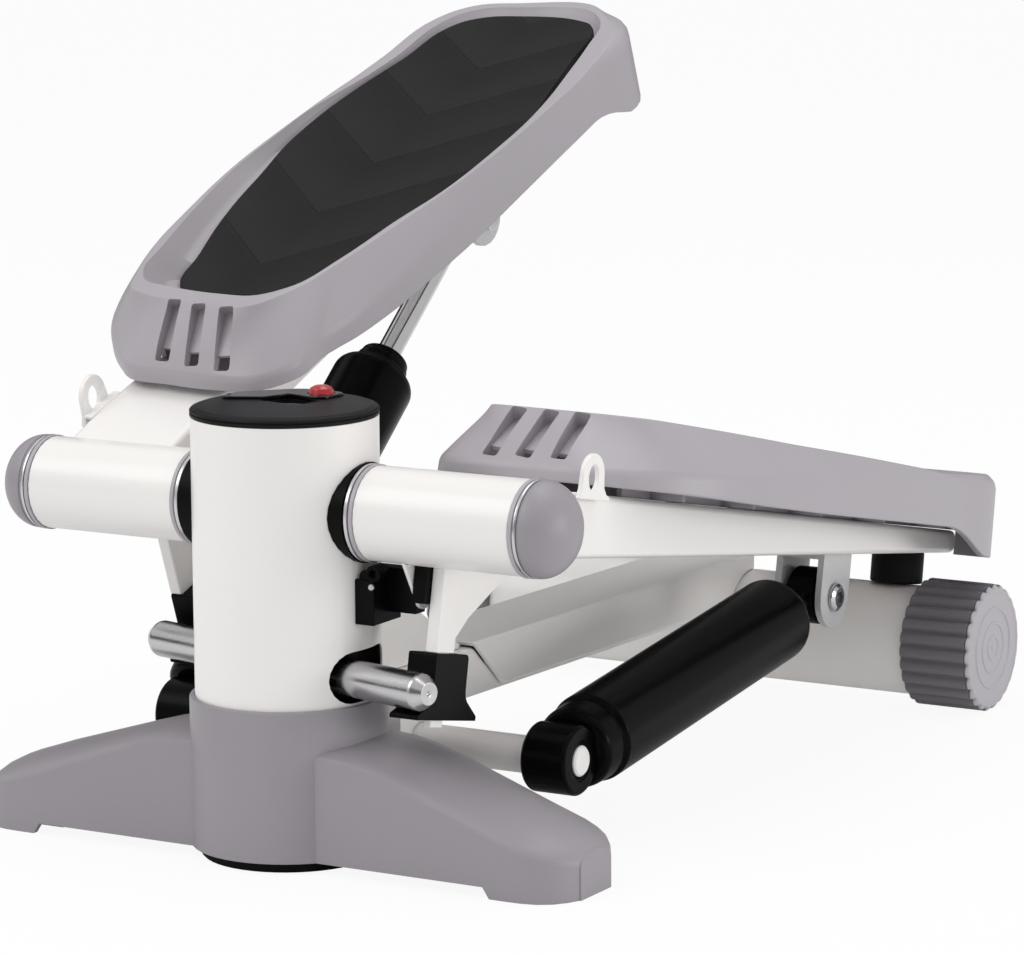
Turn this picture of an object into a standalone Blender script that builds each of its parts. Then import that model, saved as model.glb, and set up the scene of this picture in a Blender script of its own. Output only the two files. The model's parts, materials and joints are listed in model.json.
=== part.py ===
"""Mini stepper: a free-standing twist stepper with two pedals, oil dampers and a rocker that links them.

Metres, +Z up. The origin is on the column's axis at the floor, +X to the right of a user who faces the
column, -Y to the front and +Y to the heels. The right pedal is fully down and the left one fully up.
"""

import math

import bmesh
import bpy
import numpy as np
from mathutils import Matrix, Vector

MM = 0.001

# Gaps: between pieces that touch, and around pieces that turn or slide
SEAT = 0.3 * MM
RUNNING = 0.3 * MM

# Column
COLUMN_RADIUS = 38.0 * MM
COLUMN_WALL = 2.0 * MM
COLUMN_ABOVE_PIVOT = 36.7 * MM

# Front base, with its heights measured down from the collar's top
UNDERSIDE = 4.5 * MM
COLLAR_WALL = 2.0 * MM
COLLAR_BELOW_PIVOT = 77.1 * MM
LEG_HALF_WIDTH = 27.4 * MM
LEG_REACH = 142.5 * MM
LEG_TIP_ROUND = 25.0 * MM
LEG_WALL = 2.8 * MM
LEG_CROWN_INNER = 3.2 * MM
LEG_CROWN = 7.6 * MM
LEG_SHOULDER_DROP = 15.9 * MM
LEG_KNEE_REACH = 51.0 * MM
LEG_KNEE_DROP = 18.6 * MM
LEG_ANKLE_FROM_TIP = 25.5 * MM
LEG_ANKLE = 23.2 * MM
LEG_TOE = 15.8 * MM
LEG_STATIONS = (0.0, 0.19, 0.32, 0.42, 0.53, 0.66, 0.79, 0.91)
FOOT_LENGTH = 36.0 * MM
FOOT_STEP = 3.0 * MM
PAD_RADIUS = 36.5 * MM
CROSSBAR_FROM_TIP = 24.5 * MM
CROSSBAR_WIDTH = 30.0 * MM
CROSSBAR_HEIGHT = 16.0 * MM
CROSSBAR_WALL = 2.0 * MM
FOOT_PAD_PAST = 4.0 * MM
FOOT_PAD_LENGTH = 18.0 * MM
FOOT_PAD_WIDTH = 28.0 * MM

# Display in the top of the column
CAP_OVERHANG = 0.2 * MM
CAP_HEIGHT = 3.8 * MM
CAP_SKIRT = 14.0 * MM
CAP_WALL = 2.0 * MM
LENS_RISE = 1.2 * MM
LENS_THICKNESS = 2.0 * MM
BUTTON_RADIUS = 5.3 * MM
BUTTON_X = 1.0 * MM
BUTTON_Y = 26.0 * MM
BUTTON_RISE = 4.4 * MM
BUTTON_TRAVEL = 1.5 * MM
LENS_CORNERS = (
    (-30.0 * MM, -1.0 * MM, 3.0 * MM),
    (8.5 * MM, 18.5 * MM, 3.0 * MM),
    (9.5 * MM, 32.5 * MM, 5.0 * MM),
    (-13.0 * MM, 33.0 * MM, 12.0 * MM),
    (-33.0 * MM, 11.0 * MM, 10.0 * MM),
)
DECK_THICKNESS = 2.5 * MM
BOARD_DROP = 8.0 * MM
BOARD_THICKNESS = 1.6 * MM
BATTERY_RADIUS = 5.25 * MM
BATTERY_LENGTH = 44.5 * MM
BATTERY_Y = -8.0 * MM

# Pivot of both pedals, across the column
PIVOT_HEIGHT = 143.3 * MM
AXLE_RADIUS = 9.0 * MM
BUSH_RADIUS = 20.3 * MM
BUSH_LIP = 1.1 * MM
BUSH_BOSS_RADIUS = 14.0 * MM
BUSH_BOSS_DEPTH = 4.5 * MM
RING_WIDTH = 3.9 * MM
RING_RADIUS = 19.8 * MM
TUBE_RADIUS = 19.2 * MM
TUBE_WALL = 2.2 * MM
TUBE_LENGTH = 70.1 * MM
SPIGOT_LENGTH = 16.0 * MM
DOME_RING_WIDTH = 3.4 * MM
DOME_NECK = 1.6 * MM
DOME_HEIGHT = 15.0 * MM

# The arms' swing from one end to the other
ARM_SWING = math.radians(31.13)

# Arm: v runs from the pivot to the heel, w is up, and x is measured from the middle of the machine
PEDAL_CENTRE = 87.1 * MM
ARM_WIDTH = 51.0 * MM
ARM_WALL = 2.0 * MM
ARM_PAST_REAR = 34.5 * MM
ARM_TOP = 15.5 * MM
ARM_TOP_START = 40.0 * MM
ARM_TOP_DIP = 3.0 * MM
ARM_BOTTOM_AT_PIVOT = -12.6 * MM
ARM_BOTTOM_SLOPE = 0.0435
ARM_CORNER = 3.0 * MM

# Lever leg with its gusset and the shoe that pushes the rocker
LEG_FROM_ARM = 11.7 * MM
LEVER_WIDTH = 5.5 * MM
LEVER_DEPTH = 13.6 * MM
SHOE_FRONT = 5.9 * MM
SHOE_WIDTH = 13.1 * MM
SHOE_DEPTH = 25.6 * MM
SHOE_ABOVE_ROD = 12.9 * MM
SHOE_BELOW_ROD = 13.7 * MM
SHOE_LIP = 10.4 * MM
SHOE_LIP_THICKNESS = 1.8 * MM
SHOE_HEEL = 9.9 * MM
TONGUE_WIDTH = 3.5 * MM
TONGUE_DEPTH = 9.0 * MM
TONGUE_TIP = 3.0 * MM
TONGUE_FRONT = 2.0 * MM
TONGUE_OVERLAP = 10.0 * MM
GUSSET_THICKNESS = 3.0 * MM
GUSSET_REACH = 73.0 * MM
GUSSET_DROP = 47.0 * MM

# Rocker rod through the column
ROD_RADIUS = 7.0 * MM
ROD_HALF_LENGTH = 81.4 * MM
ROD_BELOW_PIVOT = 65.9 * MM
ROD_TIP = 5.0 * MM
ROD_YAW = math.radians(14.4)
HUB_RADIUS = 14.0 * MM
HUB_HEIGHT = 19.0 * MM
PIN_RADIUS = 4.0 * MM
PIN_FOOT_RADIUS = 8.0 * MM
PIN_FLANGE_RADIUS = 13.0 * MM
PIN_FLANGE = 3.2 * MM
SLOT_HALF_WIDTH = 20.1 * MM
SLOT_HEIGHT = 21.0 * MM

# Band hook on the arm
HOOK_X = 117.5 * MM
HOOK_THICKNESS = 2.4 * MM
HOOK_V = 36.9 * MM
HOOK_W = 21.3 * MM
HOOK_HOLE = 4.2 * MM
HOOK_RIM = 9.2 * MM
HOOK_FLARE = 4.6 * MM
HOOK_FOOT_X = 97.0 * MM

# Dampers
DAMPER_X = 90.0 * MM
DAMPER_FOOT_Y = 62.7 * MM
DAMPER_BELOW_SPINE = 8.7 * MM
CLEVIS_V = 303.5 * MM
CLEVIS_W = -19.5 * MM
CLEVIS_RADIUS = 14.0 * MM
CLEVIS_THICKNESS = 3.0 * MM
CLEVIS_OUTER = 101.8 * MM
BOLT_RADIUS = 4.0 * MM
BOLT_HEAD_RADIUS = 6.6 * MM
BOLT_HEAD = 2.4 * MM
EYE_RADIUS = 14.5 * MM
EYE_WIDTH = 21.0 * MM
STUD_RADIUS = 6.4 * MM
BAR_RADIUS = 7.8 * MM
BAR_COLLAR = 2.6 * MM
DAMPER_RADIUS = 19.0 * MM
DAMPER_SHOULDER = 17.0 * MM
DAMPER_NECK_RADIUS = 12.0 * MM
DAMPER_WALL = 2.5 * MM
DAMPER_END = 6.0 * MM
DAMPER_NECK = 8.0 * MM
DAMPER_TO_EYE = 12.6 * MM
PISTON_RADIUS = 5.5 * MM
PISTON_HEAD = 8.0 * MM
PISTON_MARGIN = 24.0 * MM
TOP_EYE_RADIUS = 12.8 * MM
TOP_EYE_WIDTH = 14.0 * MM
TOP_EYE_CLEARANCE = 4.0 * MM

# Spine from the column to the rear tube
SPINE_HALF_WIDTH = 17.2 * MM
SPINE_HEIGHT = 21.6 * MM
SPINE_WALL = 2.0 * MM
SPINE_OVER_TUBE = 5.0 * MM
CHANNEL_WALL = 2.5 * MM
CHANNEL_DEPTH = 22.4 * MM
CHANNEL_FRONT = 111.0 * MM
CHANNEL_CUT = 32.0 * MM
REAR_Y = 372.5 * MM
REAR_TUBE_RADIUS = 25.4 * MM
REAR_TUBE_WALL = 2.0 * MM
REAR_CAP_START = 110.0 * MM
REAR_CAP_LENGTH = 35.0 * MM
REAR_CAP_RADIUS = 29.6 * MM
REAR_CAP_FACE = 3.7 * MM
REAR_CAP_RIBS = 26
REAR_CAP_GROOVE = 1.3 * MM
STRUT_WIDTH = 28.0 * MM
STRUT_WALL = 3.0 * MM
STRUT_BELOW_PIVOT = 31.3 * MM
STRUT_REACH = 112.0 * MM
BRACKET_X = 24.0 * MM
BRACKET_WALL = 3.0 * MM
BRACKET_AHEAD = 15.7 * MM
BRACKET_BEHIND = 13.3 * MM
BRACKET_BELOW = 9.6 * MM
BRACKET_SHOULDER = 2.9 * MM

# Bumper under the arm's heel end
BUMPER_X = 93.0 * MM
BUMPER_RADIUS = 12.2 * MM
BUMPER_HEIGHT = 14.9 * MM

# Step counter beside the column
SENSOR_BELOW_PIVOT = 44.3 * MM
SENSOR_FRONT = -8.0 * MM
SENSOR_DEPTH = 21.0 * MM
SENSOR_WIDTH = 8.0 * MM
SENSOR_HEIGHT = 18.5 * MM
TAB_X = 59.8 * MM
TAB_THICKNESS = 1.5 * MM
WIRE_Y = 3.0 * MM
WIRE_ABOVE_SENSOR = 11.0 * MM
WIRE_RADIUS = 1.0 * MM

# Pedal outlines in millimetres from above: (s outward from the pedal's middle, v from the pivot to the heel).
# Each runs along the outer side to the toe, across, back along the inner side, and round the heel.
SKIRT_OUTLINE = (
    (
        (53.2, 391.5), (58.9, 342.0), (62.3, 288.8), (64.2, 212.8), (64.2, 167.2), (62.6, 129.2),
        (57.4, 104.5),
    ),
    (
        (51.2, 90.0), (38.0, 72.0), (28.2, 62.5), (22.8, 57.8), (0.5, 54.5), (-22.4, 52.9),
        (-45.6, 56.3), (-55.5, 68.5),
    ),
    (
        (-56.6, 92.7), (-60.8, 110.2), (-63.1, 131.5), (-64.2, 167.2), (-64.2, 212.8), (-62.3, 258.4),
        (-60.8, 291.8), (-58.5, 338.2), (-51.8, 388.5),
    ),
    ((-42.5, 400.5), (-30.4, 406.6), (15.2, 407.4), (38.0, 405.1), (48.2, 399.5)),
)
RIM_OUTLINE = (
    (
        (50.6, 385.0), (55.9, 342.0), (59.9, 309.3), (61.4, 266.8), (60.8, 212.8), (53.5, 158.1),
        (48.7, 133.0), (38.0, 98.8),
    ),
    ((31.9, 85.1), (20.5, 79.8), (7.6, 76.8), (-14.4, 74.1), (-34.2, 74.5), (-45.6, 91.2)),
    (
        (-53.2, 121.6), (-58.1, 163.8), (-61.9, 212.8), (-61.9, 258.4), (-59.7, 309.3), (-57.0, 342.0),
        (-48.6, 378.5),
    ),
    ((-39.8, 389.5), (-34.0, 396.5), (-27.4, 403.6), (15.5, 405.1), (36.0, 401.5), (45.5, 393.8)),
)
RECESS_OUTLINE = (
    (
        (44.5, 377.0), (48.4, 344.3), (56.5, 303.2), (60.0, 279.7), (60.0, 247.8), (58.9, 213.6),
        (52.1, 168.3), (41.8, 122.1), (38.6, 106.8),
    ),
    ((33.1, 97.2), (27.8, 91.8), (18.5, 89.0), (8.2, 86.6), (-14.7, 83.5), (-32.5, 84.1), (-43.7, 93.9)),
    (
        (-51.5, 121.6), (-55.8, 163.8), (-59.7, 192.3), (-60.0, 247.0), (-58.3, 276.6), (-55.7, 296.4),
        (-50.8, 323.8), (-44.8, 360.2), (-38.6, 386.1),
    ),
    ((-35.6, 391.1), (-30.4, 393.7), (9.5, 396.0), (31.5, 392.7), (38.0, 389.5)),
)
MAT_OUTLINE = (
    (
        (40.3, 375.4), (45.6, 345.8), (52.4, 311.6), (55.5, 285.0), (55.5, 250.8), (50.9, 218.9),
        (47.9, 194.6), (43.3, 170.2), (35.7, 141.4),
    ),
    ((28.1, 114.0), (22.8, 109.4), (7.6, 107.9), (-7.6, 107.9), (-22.8, 109.4), (-28.1, 114.0)),
    (
        (-35.7, 141.4), (-43.3, 170.2), (-47.9, 194.6), (-50.9, 218.9), (-55.5, 250.8), (-54.0, 285.0),
        (-47.9, 319.2), (-42.6, 349.6), (-36.5, 378.5),
    ),
    ((-31.9, 384.6), (-22.8, 387.6), (7.6, 389.1), (26.6, 386.1), (35.0, 382.3)),
)
ARC_COUNTS = (13, 12, 13, 8)

# Pedal heights in millimetres above the pivot, as (v, height) along the pedal
RIM_HEIGHTS_OUTER = ((76.0, 48.6), (175.0, 44.5), (319.0, 40.7), (350.0, 41.8), (406.0, 43.4))
RIM_HEIGHTS_INNER = (
    (76.0, 49.0), (130.0, 48.5), (175.0, 46.8), (250.0, 43.8), (319.0, 41.2), (350.0, 41.9),
    (406.0, 43.4),
)
CREASE_HEIGHTS = ((53.0, 24.8), (84.0, 26.4), (175.0, 29.9), (300.0, 36.6), (406.0, 38.0))
SKIRT_HEIGHTS = (
    (53.0, 19.2), (84.0, 18.8), (140.0, 17.3), (200.0, 16.7), (334.0, 16.7), (342.0, 15.6),
    (352.0, 13.1), (370.0, 5.3), (384.0, 4.4), (420.0, 4.4),
)
OUTLINE_END = 407.0
PEDAL_WALL = 3.0 * MM
RIGHT_PEDAL_INSET = 3.0 * MM
RIM_BLEND = 30.0 * MM
MAT_THICKNESS = 3.0 * MM
MAT_TOP_AT_PIVOT = 33.1 * MM
MAT_TOP_SLOPE = 0.0211
PEDAL_RIB_WALL = 2.4 * MM
PEDAL_RIB_START = 84.0
PEDAL_RIB_END = 400.0
CROSS_RIB_START = 110.0
CROSS_RIB_PITCH = 65.0
CROSS_RIBS = 5

# Slots in the toe: the (s, v, w) of each one's upper and lower end, in millimetres
TOE_SLOTS = (
    ((-24.8, 73.8, 47.7), (-27.7, 52.8, 31.2)),
    ((-10.3, 74.9, 47.6), (-12.5, 54.2, 30.9)),
    ((3.0, 77.3, 47.3), (3.2, 56.4, 30.5)),
)
SLOT_WIDTH = 6.5 * MM
SLOT_CUT = 6.0 * MM

# Derived places
COLUMN_TOP = PIVOT_HEIGHT + COLUMN_ABOVE_PIVOT
COLLAR_TOP = PIVOT_HEIGHT - COLLAR_BELOW_PIVOT
COLLAR_RADIUS = COLUMN_RADIUS + SEAT + COLLAR_WALL
LEG_SHOULDER = COLLAR_TOP - LEG_SHOULDER_DROP
LEG_KNEE = COLLAR_TOP - LEG_KNEE_DROP
LEG_ANKLE_REACH = LEG_REACH - LEG_ANKLE_FROM_TIP
FOOT_START = LEG_REACH - FOOT_LENGTH
CROSSBAR_HALF_LENGTH = LEG_REACH - CROSSBAR_FROM_TIP
CROSSBAR_BOTTOM = UNDERSIDE
CROSSBAR_TOP = CROSSBAR_BOTTOM + CROSSBAR_HEIGHT
COLUMN_BOTTOM = CROSSBAR_TOP + SEAT
CAP_BOTTOM = COLUMN_TOP + SEAT
CAP_TOP = CAP_BOTTOM + CAP_HEIGHT
DECK_UNDERSIDE = CAP_TOP - DECK_THICKNESS
BOARD_BOTTOM = DECK_UNDERSIDE - BOARD_DROP
RING_START = COLUMN_RADIUS + BUSH_LIP + RUNNING
TUBE_START = RING_START + RING_WIDTH + SEAT
TUBE_END = TUBE_START + TUBE_LENGTH
DOME_START = TUBE_END + SEAT
DOME_BASE = DOME_START + DOME_RING_WIDTH + DOME_NECK
AXLE_END = DOME_BASE - 0.5 * MM
ARM_INNER = PEDAL_CENTRE - ARM_WIDTH / 2
ARM_OUTER = PEDAL_CENTRE + ARM_WIDTH / 2
ARM_END = REAR_Y + ARM_PAST_REAR
LEG_OUTER = ARM_INNER + LEG_FROM_ARM
ROD_HEIGHT = PIVOT_HEIGHT - ROD_BELOW_PIVOT
SHOE_TOP = SHOE_ABOVE_ROD - ROD_BELOW_PIVOT
SHOE_BOTTOM = -SHOE_BELOW_ROD - ROD_BELOW_PIVOT
LEVER_FRONT = SHOE_FRONT
CHANNEL_HALF_WIDTH = SPINE_HALF_WIDTH + SEAT + CHANNEL_WALL
REAR_Z = REAR_CAP_RADIUS
REAR_END = REAR_CAP_START + REAR_CAP_LENGTH
SPINE_TOP = COLLAR_TOP - SEAT
SPINE_BOTTOM = SPINE_TOP - SPINE_HEIGHT
SPINE_FALL = SPINE_TOP - (REAR_Z + REAR_TUBE_RADIUS + SPINE_OVER_TUBE)
SPINE_SLOPE = math.atan2(SPINE_FALL, REAR_Y - COLUMN_RADIUS)
STRUT_TOP = PIVOT_HEIGHT - STRUT_BELOW_PIVOT
SENSOR_Z = PIVOT_HEIGHT - SENSOR_BELOW_PIVOT
WIRE_Z = SENSOR_Z + WIRE_ABOVE_SENSOR
DAMPER_FOOT_Z = SPINE_BOTTOM - DAMPER_BELOW_SPINE
MAT_SEAT = MAT_THICKNESS + SEAT


def resting_angle():
    """The arm's angle with its bumper on the rear tube, positive with the heel up."""
    tube_reach = math.hypot(REAR_Y, PIVOT_HEIGHT - REAR_Z)
    tube_angle = math.atan2(REAR_Z - PIVOT_HEIGHT, REAR_Y)
    tilt = math.atan(ARM_BOTTOM_SLOPE)
    stand_off = REAR_TUBE_RADIUS + BUMPER_HEIGHT + 2 * SEAT
    below_arm = math.asin((ARM_BOTTOM_AT_PIVOT * math.cos(tilt) - stand_off) / tube_reach)
    return tube_angle - tilt - below_arm


ARM_DOWN = resting_angle()
ARM_UP = ARM_DOWN + ARM_SWING


def fork_pin(angle):
    """Where the fork's bolt stands, in the machine's frame, with the arm at this angle."""
    y = CLEVIS_V * math.cos(angle) - CLEVIS_W * math.sin(angle)
    z = PIVOT_HEIGHT + CLEVIS_V * math.sin(angle) + CLEVIS_W * math.cos(angle)
    return y, z


def damper_span(angle):
    """The distance between the damper's two pins with the arm at this angle."""
    y, z = fork_pin(angle)
    return math.hypot(z - DAMPER_FOOT_Z, y - DAMPER_FOOT_Y)


# The cylinder fills the closed damper, and the piston keeps its margin from the end of the open one
DAMPER_LENGTH = damper_span(ARM_DOWN) - DAMPER_SHOULDER - DAMPER_NECK - DAMPER_TO_EYE - TOP_EYE_RADIUS
PISTON_TOP = DAMPER_SHOULDER + DAMPER_LENGTH - DAMPER_END - PISTON_MARGIN
PISTON_LENGTH = damper_span(ARM_UP) - TOP_EYE_RADIUS + PISTON_HEAD - PISTON_TOP


for obj in list(bpy.data.objects):
    bpy.data.objects.remove(obj, do_unlink=True)

PARTS = bpy.data.collections.new("mini_stepper")
CUTTERS = bpy.data.collections.new("mini_stepper_cutters")
bpy.context.scene.collection.children.link(PARTS)
bpy.context.scene.collection.children.link(CUTTERS)


def material(name, color, roughness, metallic=0.0):
    mat = bpy.data.materials.new(name)
    mat.use_nodes = True
    shader = mat.node_tree.nodes["Principled BSDF"]
    shader.inputs["Base Color"].default_value = (*color, 1.0)
    shader.inputs["Roughness"].default_value = roughness
    shader.inputs["Metallic"].default_value = metallic
    return mat


WHITE_PAINT = material("white_paint", (0.82, 0.80, 0.78), 0.35)
GREY_PLASTIC = material("grey_plastic", (0.30, 0.28, 0.30), 0.5)
PALE_PLASTIC = material("pale_plastic", (0.36, 0.34, 0.37), 0.5)
BLACK_PLASTIC = material("black_plastic", (0.012, 0.012, 0.013), 0.45)
BLACK_GLOSS = material("black_gloss", (0.008, 0.008, 0.009), 0.12)
BLACK_RUBBER = material("black_rubber", (0.02, 0.02, 0.022), 0.8)
MAT_RUBBER = material("mat_rubber", (0.028, 0.027, 0.031), 0.7)
RED_PLASTIC = material("red_plastic", (0.5, 0.02, 0.03), 0.3)
CHROME = material("chrome", (0.62, 0.62, 0.64), 0.18, 1.0)
STEEL = material("steel", (0.45, 0.45, 0.46), 0.4, 1.0)
GREEN_BOARD = material("green_board", (0.02, 0.16, 0.07), 0.5)
COPPER_CELL = material("cell", (0.35, 0.33, 0.30), 0.35, 0.6)


def frame(name, location, x_angle=0.0, z_angle=0.0):
    """An empty on a joint's axis, which carries the pieces that turn with it."""
    empty = bpy.data.objects.new(name, None)
    empty.location = location
    empty.rotation_euler = (x_angle, 0.0, z_angle)
    PARTS.objects.link(empty)
    return empty


def place(name, mesh, mat, parent):
    """A mesh as an object: a piece when it has a material, and a cutter when it has none."""
    obj = bpy.data.objects.new(name, mesh)
    obj.parent = parent
    if mat is None:
        obj.hide_render = True
        obj.display_type = "WIRE"
        CUTTERS.objects.link(obj)
    else:
        mesh.materials.append(mat)
        PARTS.objects.link(obj)
    mesh.shade_smooth()
    mesh.set_sharp_from_angle(angle=math.radians(32))
    return obj


def from_bmesh(name, bm, mat=None, parent=None):
    bmesh.ops.recalc_face_normals(bm, faces=bm.faces)
    mesh = bpy.data.meshes.new(name)
    bm.to_mesh(mesh)
    bm.free()
    return place(name, mesh, mat, parent)


def box(name, low, high, mat=None, parent=None, bevel=0.0):
    """A box between two corners, which may come in either order."""
    bm = bmesh.new()
    bmesh.ops.create_cube(bm, size=1.0)
    for vert in bm.verts:
        vert.co = Vector([(a + b) / 2 + c * abs(b - a) for a, b, c in zip(low, high, vert.co)])
    if bevel:
        bmesh.ops.bevel(bm, geom=bm.edges[:], offset=bevel, segments=2, profile=0.5, affect="EDGES")
    return from_bmesh(name, bm, mat, parent)


def cylinder(name, radius, start, end, mat=None, parent=None, sides=28, end_radius=None):
    """A cylinder or a cone between two points."""
    start = Vector(start)
    end = Vector(end)
    run = end - start
    turn = run.to_track_quat("Z", "Y").to_matrix().to_4x4()
    bm = bmesh.new()
    bmesh.ops.create_cone(
        bm,
        cap_ends=True,
        segments=sides,
        radius1=radius,
        radius2=radius if end_radius is None else end_radius,
        depth=run.length,
        matrix=Matrix.Translation((start + end) / 2) @ turn,
    )
    return from_bmesh(name, bm, mat, parent)


def turned(name, profile, mat=None, parent=None, axis="Z", side=1, sides=28):
    """A turned piece. The profile is (radius, height) from the top down its outer side."""
    bm = bmesh.new()
    verts = [bm.verts.new((radius, 0.0, height)) for radius, height in profile]
    for first, second in zip(verts, verts[1:]):
        bm.edges.new((first, second))
    if profile[0][0] > 0.0:
        bm.edges.new((verts[-1], verts[0]))
    mesh = bpy.data.meshes.new(name)
    bm.to_mesh(mesh)
    bm.free()
    obj = place(name, mesh, mat, parent)
    screw = obj.modifiers.new("Screw", "SCREW")
    screw.steps = sides
    screw.render_steps = sides
    screw.use_merge_vertices = True
    screw.merge_threshold = 0.00001
    screw.use_smooth_shade = True
    if axis == "X":
        obj.rotation_euler = (0.0, side * math.pi / 2, 0.0)
    return obj


def fillet(corners, step=math.radians(18)):
    """An outline from (x, y) or (x, y, radius) corners, with each radius as an arc."""
    outline = []
    count = len(corners)
    for i, corner in enumerate(corners):
        here = Vector(corner[:2])
        radius = corner[2] if len(corner) > 2 else 0.0
        if radius == 0.0:
            outline.append(tuple(here))
            continue
        before = (Vector(corners[i - 1][:2]) - here).normalized()
        after = (Vector(corners[(i + 1) % count][:2]) - here).normalized()
        half = before.angle(after) / 2
        reach = radius / math.tan(half)
        centre = here + (before + after).normalized() * (radius / math.sin(half))
        first = here + before * reach - centre
        last = here + after * reach - centre
        sweep = math.pi - 2 * half
        turn = 1.0 if first.cross(last) > 0 else -1.0
        pieces = max(2, math.ceil(sweep / step))
        for k in range(pieces + 1):
            angle = turn * sweep * k / pieces
            point = centre + Matrix.Rotation(angle, 2) @ first
            outline.append(tuple(point))
    return outline


def plate(name, outline, low, high, mat=None, parent=None, axis="X"):
    """A flat outline with a thickness. On axis X the outline is (y, z), and on axis Z it is (x, y)."""
    curve = bpy.data.curves.new(name, "CURVE")
    curve.dimensions = "2D"
    curve.fill_mode = "BOTH"
    curve.extrude = abs(high - low) / 2
    spline = curve.splines.new("POLY")
    spline.points.add(len(outline) - 1)
    for point, (a, b) in zip(spline.points, outline):
        point.co = (a, b, 0.0, 1.0)
    spline.use_cyclic_u = True
    drawn = bpy.data.objects.new(name + "_outline", curve)
    PARTS.objects.link(drawn)
    graph = bpy.context.evaluated_depsgraph_get()
    mesh = bpy.data.meshes.new_from_object(drawn.evaluated_get(graph))
    bpy.data.objects.remove(drawn, do_unlink=True)
    middle = (low + high) / 2
    if axis == "X":
        mesh.transform(Matrix(((0, 0, 1, middle), (1, 0, 0, 0), (0, 1, 0, 0), (0, 0, 0, 1))))
    else:
        mesh.transform(Matrix.Translation((0, 0, middle)))
    bm = bmesh.new()
    bm.from_mesh(mesh)
    bmesh.ops.remove_doubles(bm, verts=bm.verts, dist=0.000001)
    bpy.data.meshes.remove(mesh)
    return from_bmesh(name, bm, mat, parent)


def loft(name, rings, mat=None, parent=None):
    """A closed skin through rings that have as many points each, capped at both ends."""
    bm = bmesh.new()
    rows = [[bm.verts.new(point) for point in ring] for ring in rings]
    for lower, upper in zip(rows, rows[1:]):
        for i in range(len(lower)):
            j = (i + 1) % len(lower)
            bm.faces.new((lower[i], lower[j], upper[j], upper[i]))
    bm.faces.new(rows[0][::-1])
    bm.faces.new(rows[-1])
    return from_bmesh(name, bm, mat, parent)


def cut(obj, *cutters):
    for cutter in cutters:
        boolean = obj.modifiers.new("Cut " + cutter.name, "BOOLEAN")
        boolean.operation = "DIFFERENCE"
        boolean.solver = "EXACT"
        boolean.object = cutter
    return obj


def join(obj, *others):
    for other in others:
        boolean = obj.modifiers.new("Join " + other.name, "BOOLEAN")
        boolean.operation = "UNION"
        boolean.solver = "EXACT"
        boolean.object = other
    return obj


def side_name(name, side):
    return name + ("_right" if side > 0 else "_left")


# Frame pieces that stand still


def leg_height(reach):
    """Height of the crease along a base leg, from the column out to the toe."""
    stations = (0.0, LEG_KNEE_REACH, LEG_ANKLE_REACH, LEG_REACH)
    heights = (LEG_SHOULDER, LEG_KNEE, LEG_ANKLE, LEG_TOE)
    knee = np.interp(reach, stations, heights)
    spread = 9.0 * MM
    before = np.interp(reach - spread, stations, heights)
    after = np.interp(reach + spread, stations, heights)
    return (before + knee + after) / 3


def leg_crown(reach):
    """How far a base leg's ridge stands over its creases, which grows from the column to the foot."""
    return np.interp(reach, (COLUMN_RADIUS, FOOT_START), (LEG_CROWN_INNER, LEG_CROWN))


def leg_rings(inset, floor):
    """Cross-sections of both legs from tip to tip, drawn in by inset."""
    reach = LEG_REACH - inset
    straight = reach - (LEG_TIP_ROUND - inset)
    tips = [straight + (reach - straight) * math.sin(t * math.pi / 12) for t in range(1, 6)]
    tips.append(reach - 0.2 * MM)
    heel = FOOT_START + inset
    inner = [FOOT_START * share for share in LEG_STATIONS[1:]]
    half = inner + [heel, heel + FOOT_STEP, straight] + tips
    stations = [-x for x in reversed(half)] + [0.0] + half
    rings = []
    for x in stations:
        reach_x = abs(x)
        past = max(0.0, reach_x - straight) / (reach - straight)
        half_width = (LEG_HALF_WIDTH - inset) * max(0.12, 1.0 - past**2.6) ** (1 / 2.6)
        ratio = half_width / (LEG_HALF_WIDTH - inset)
        crease = leg_height(reach_x) - inset - 3.0 * MM * (1 - ratio)
        bottom = floor
        if floor >= 0.0:
            bottom = UNDERSIDE if reach_x < heel + FOOT_STEP / 2 else 0.0
        crown = leg_crown(reach_x) * ratio
        upper = (
            (1.0, -2.6 * MM), (0.975, -0.6 * MM), (0.9, 0.2 * crown), (0.62, 0.62 * crown),
            (0.31, 0.9 * crown),
        )
        right = [(x, half_width * f, crease + rise) for f, rise in upper]
        left = [(x, -y, z) for _, y, z in reversed(right)]
        middle = [(x, 0.0, crease + crown)]
        rings.append([(x, half_width, bottom)] + right + middle + left + [(x, -half_width, bottom)])
    return rings


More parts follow.
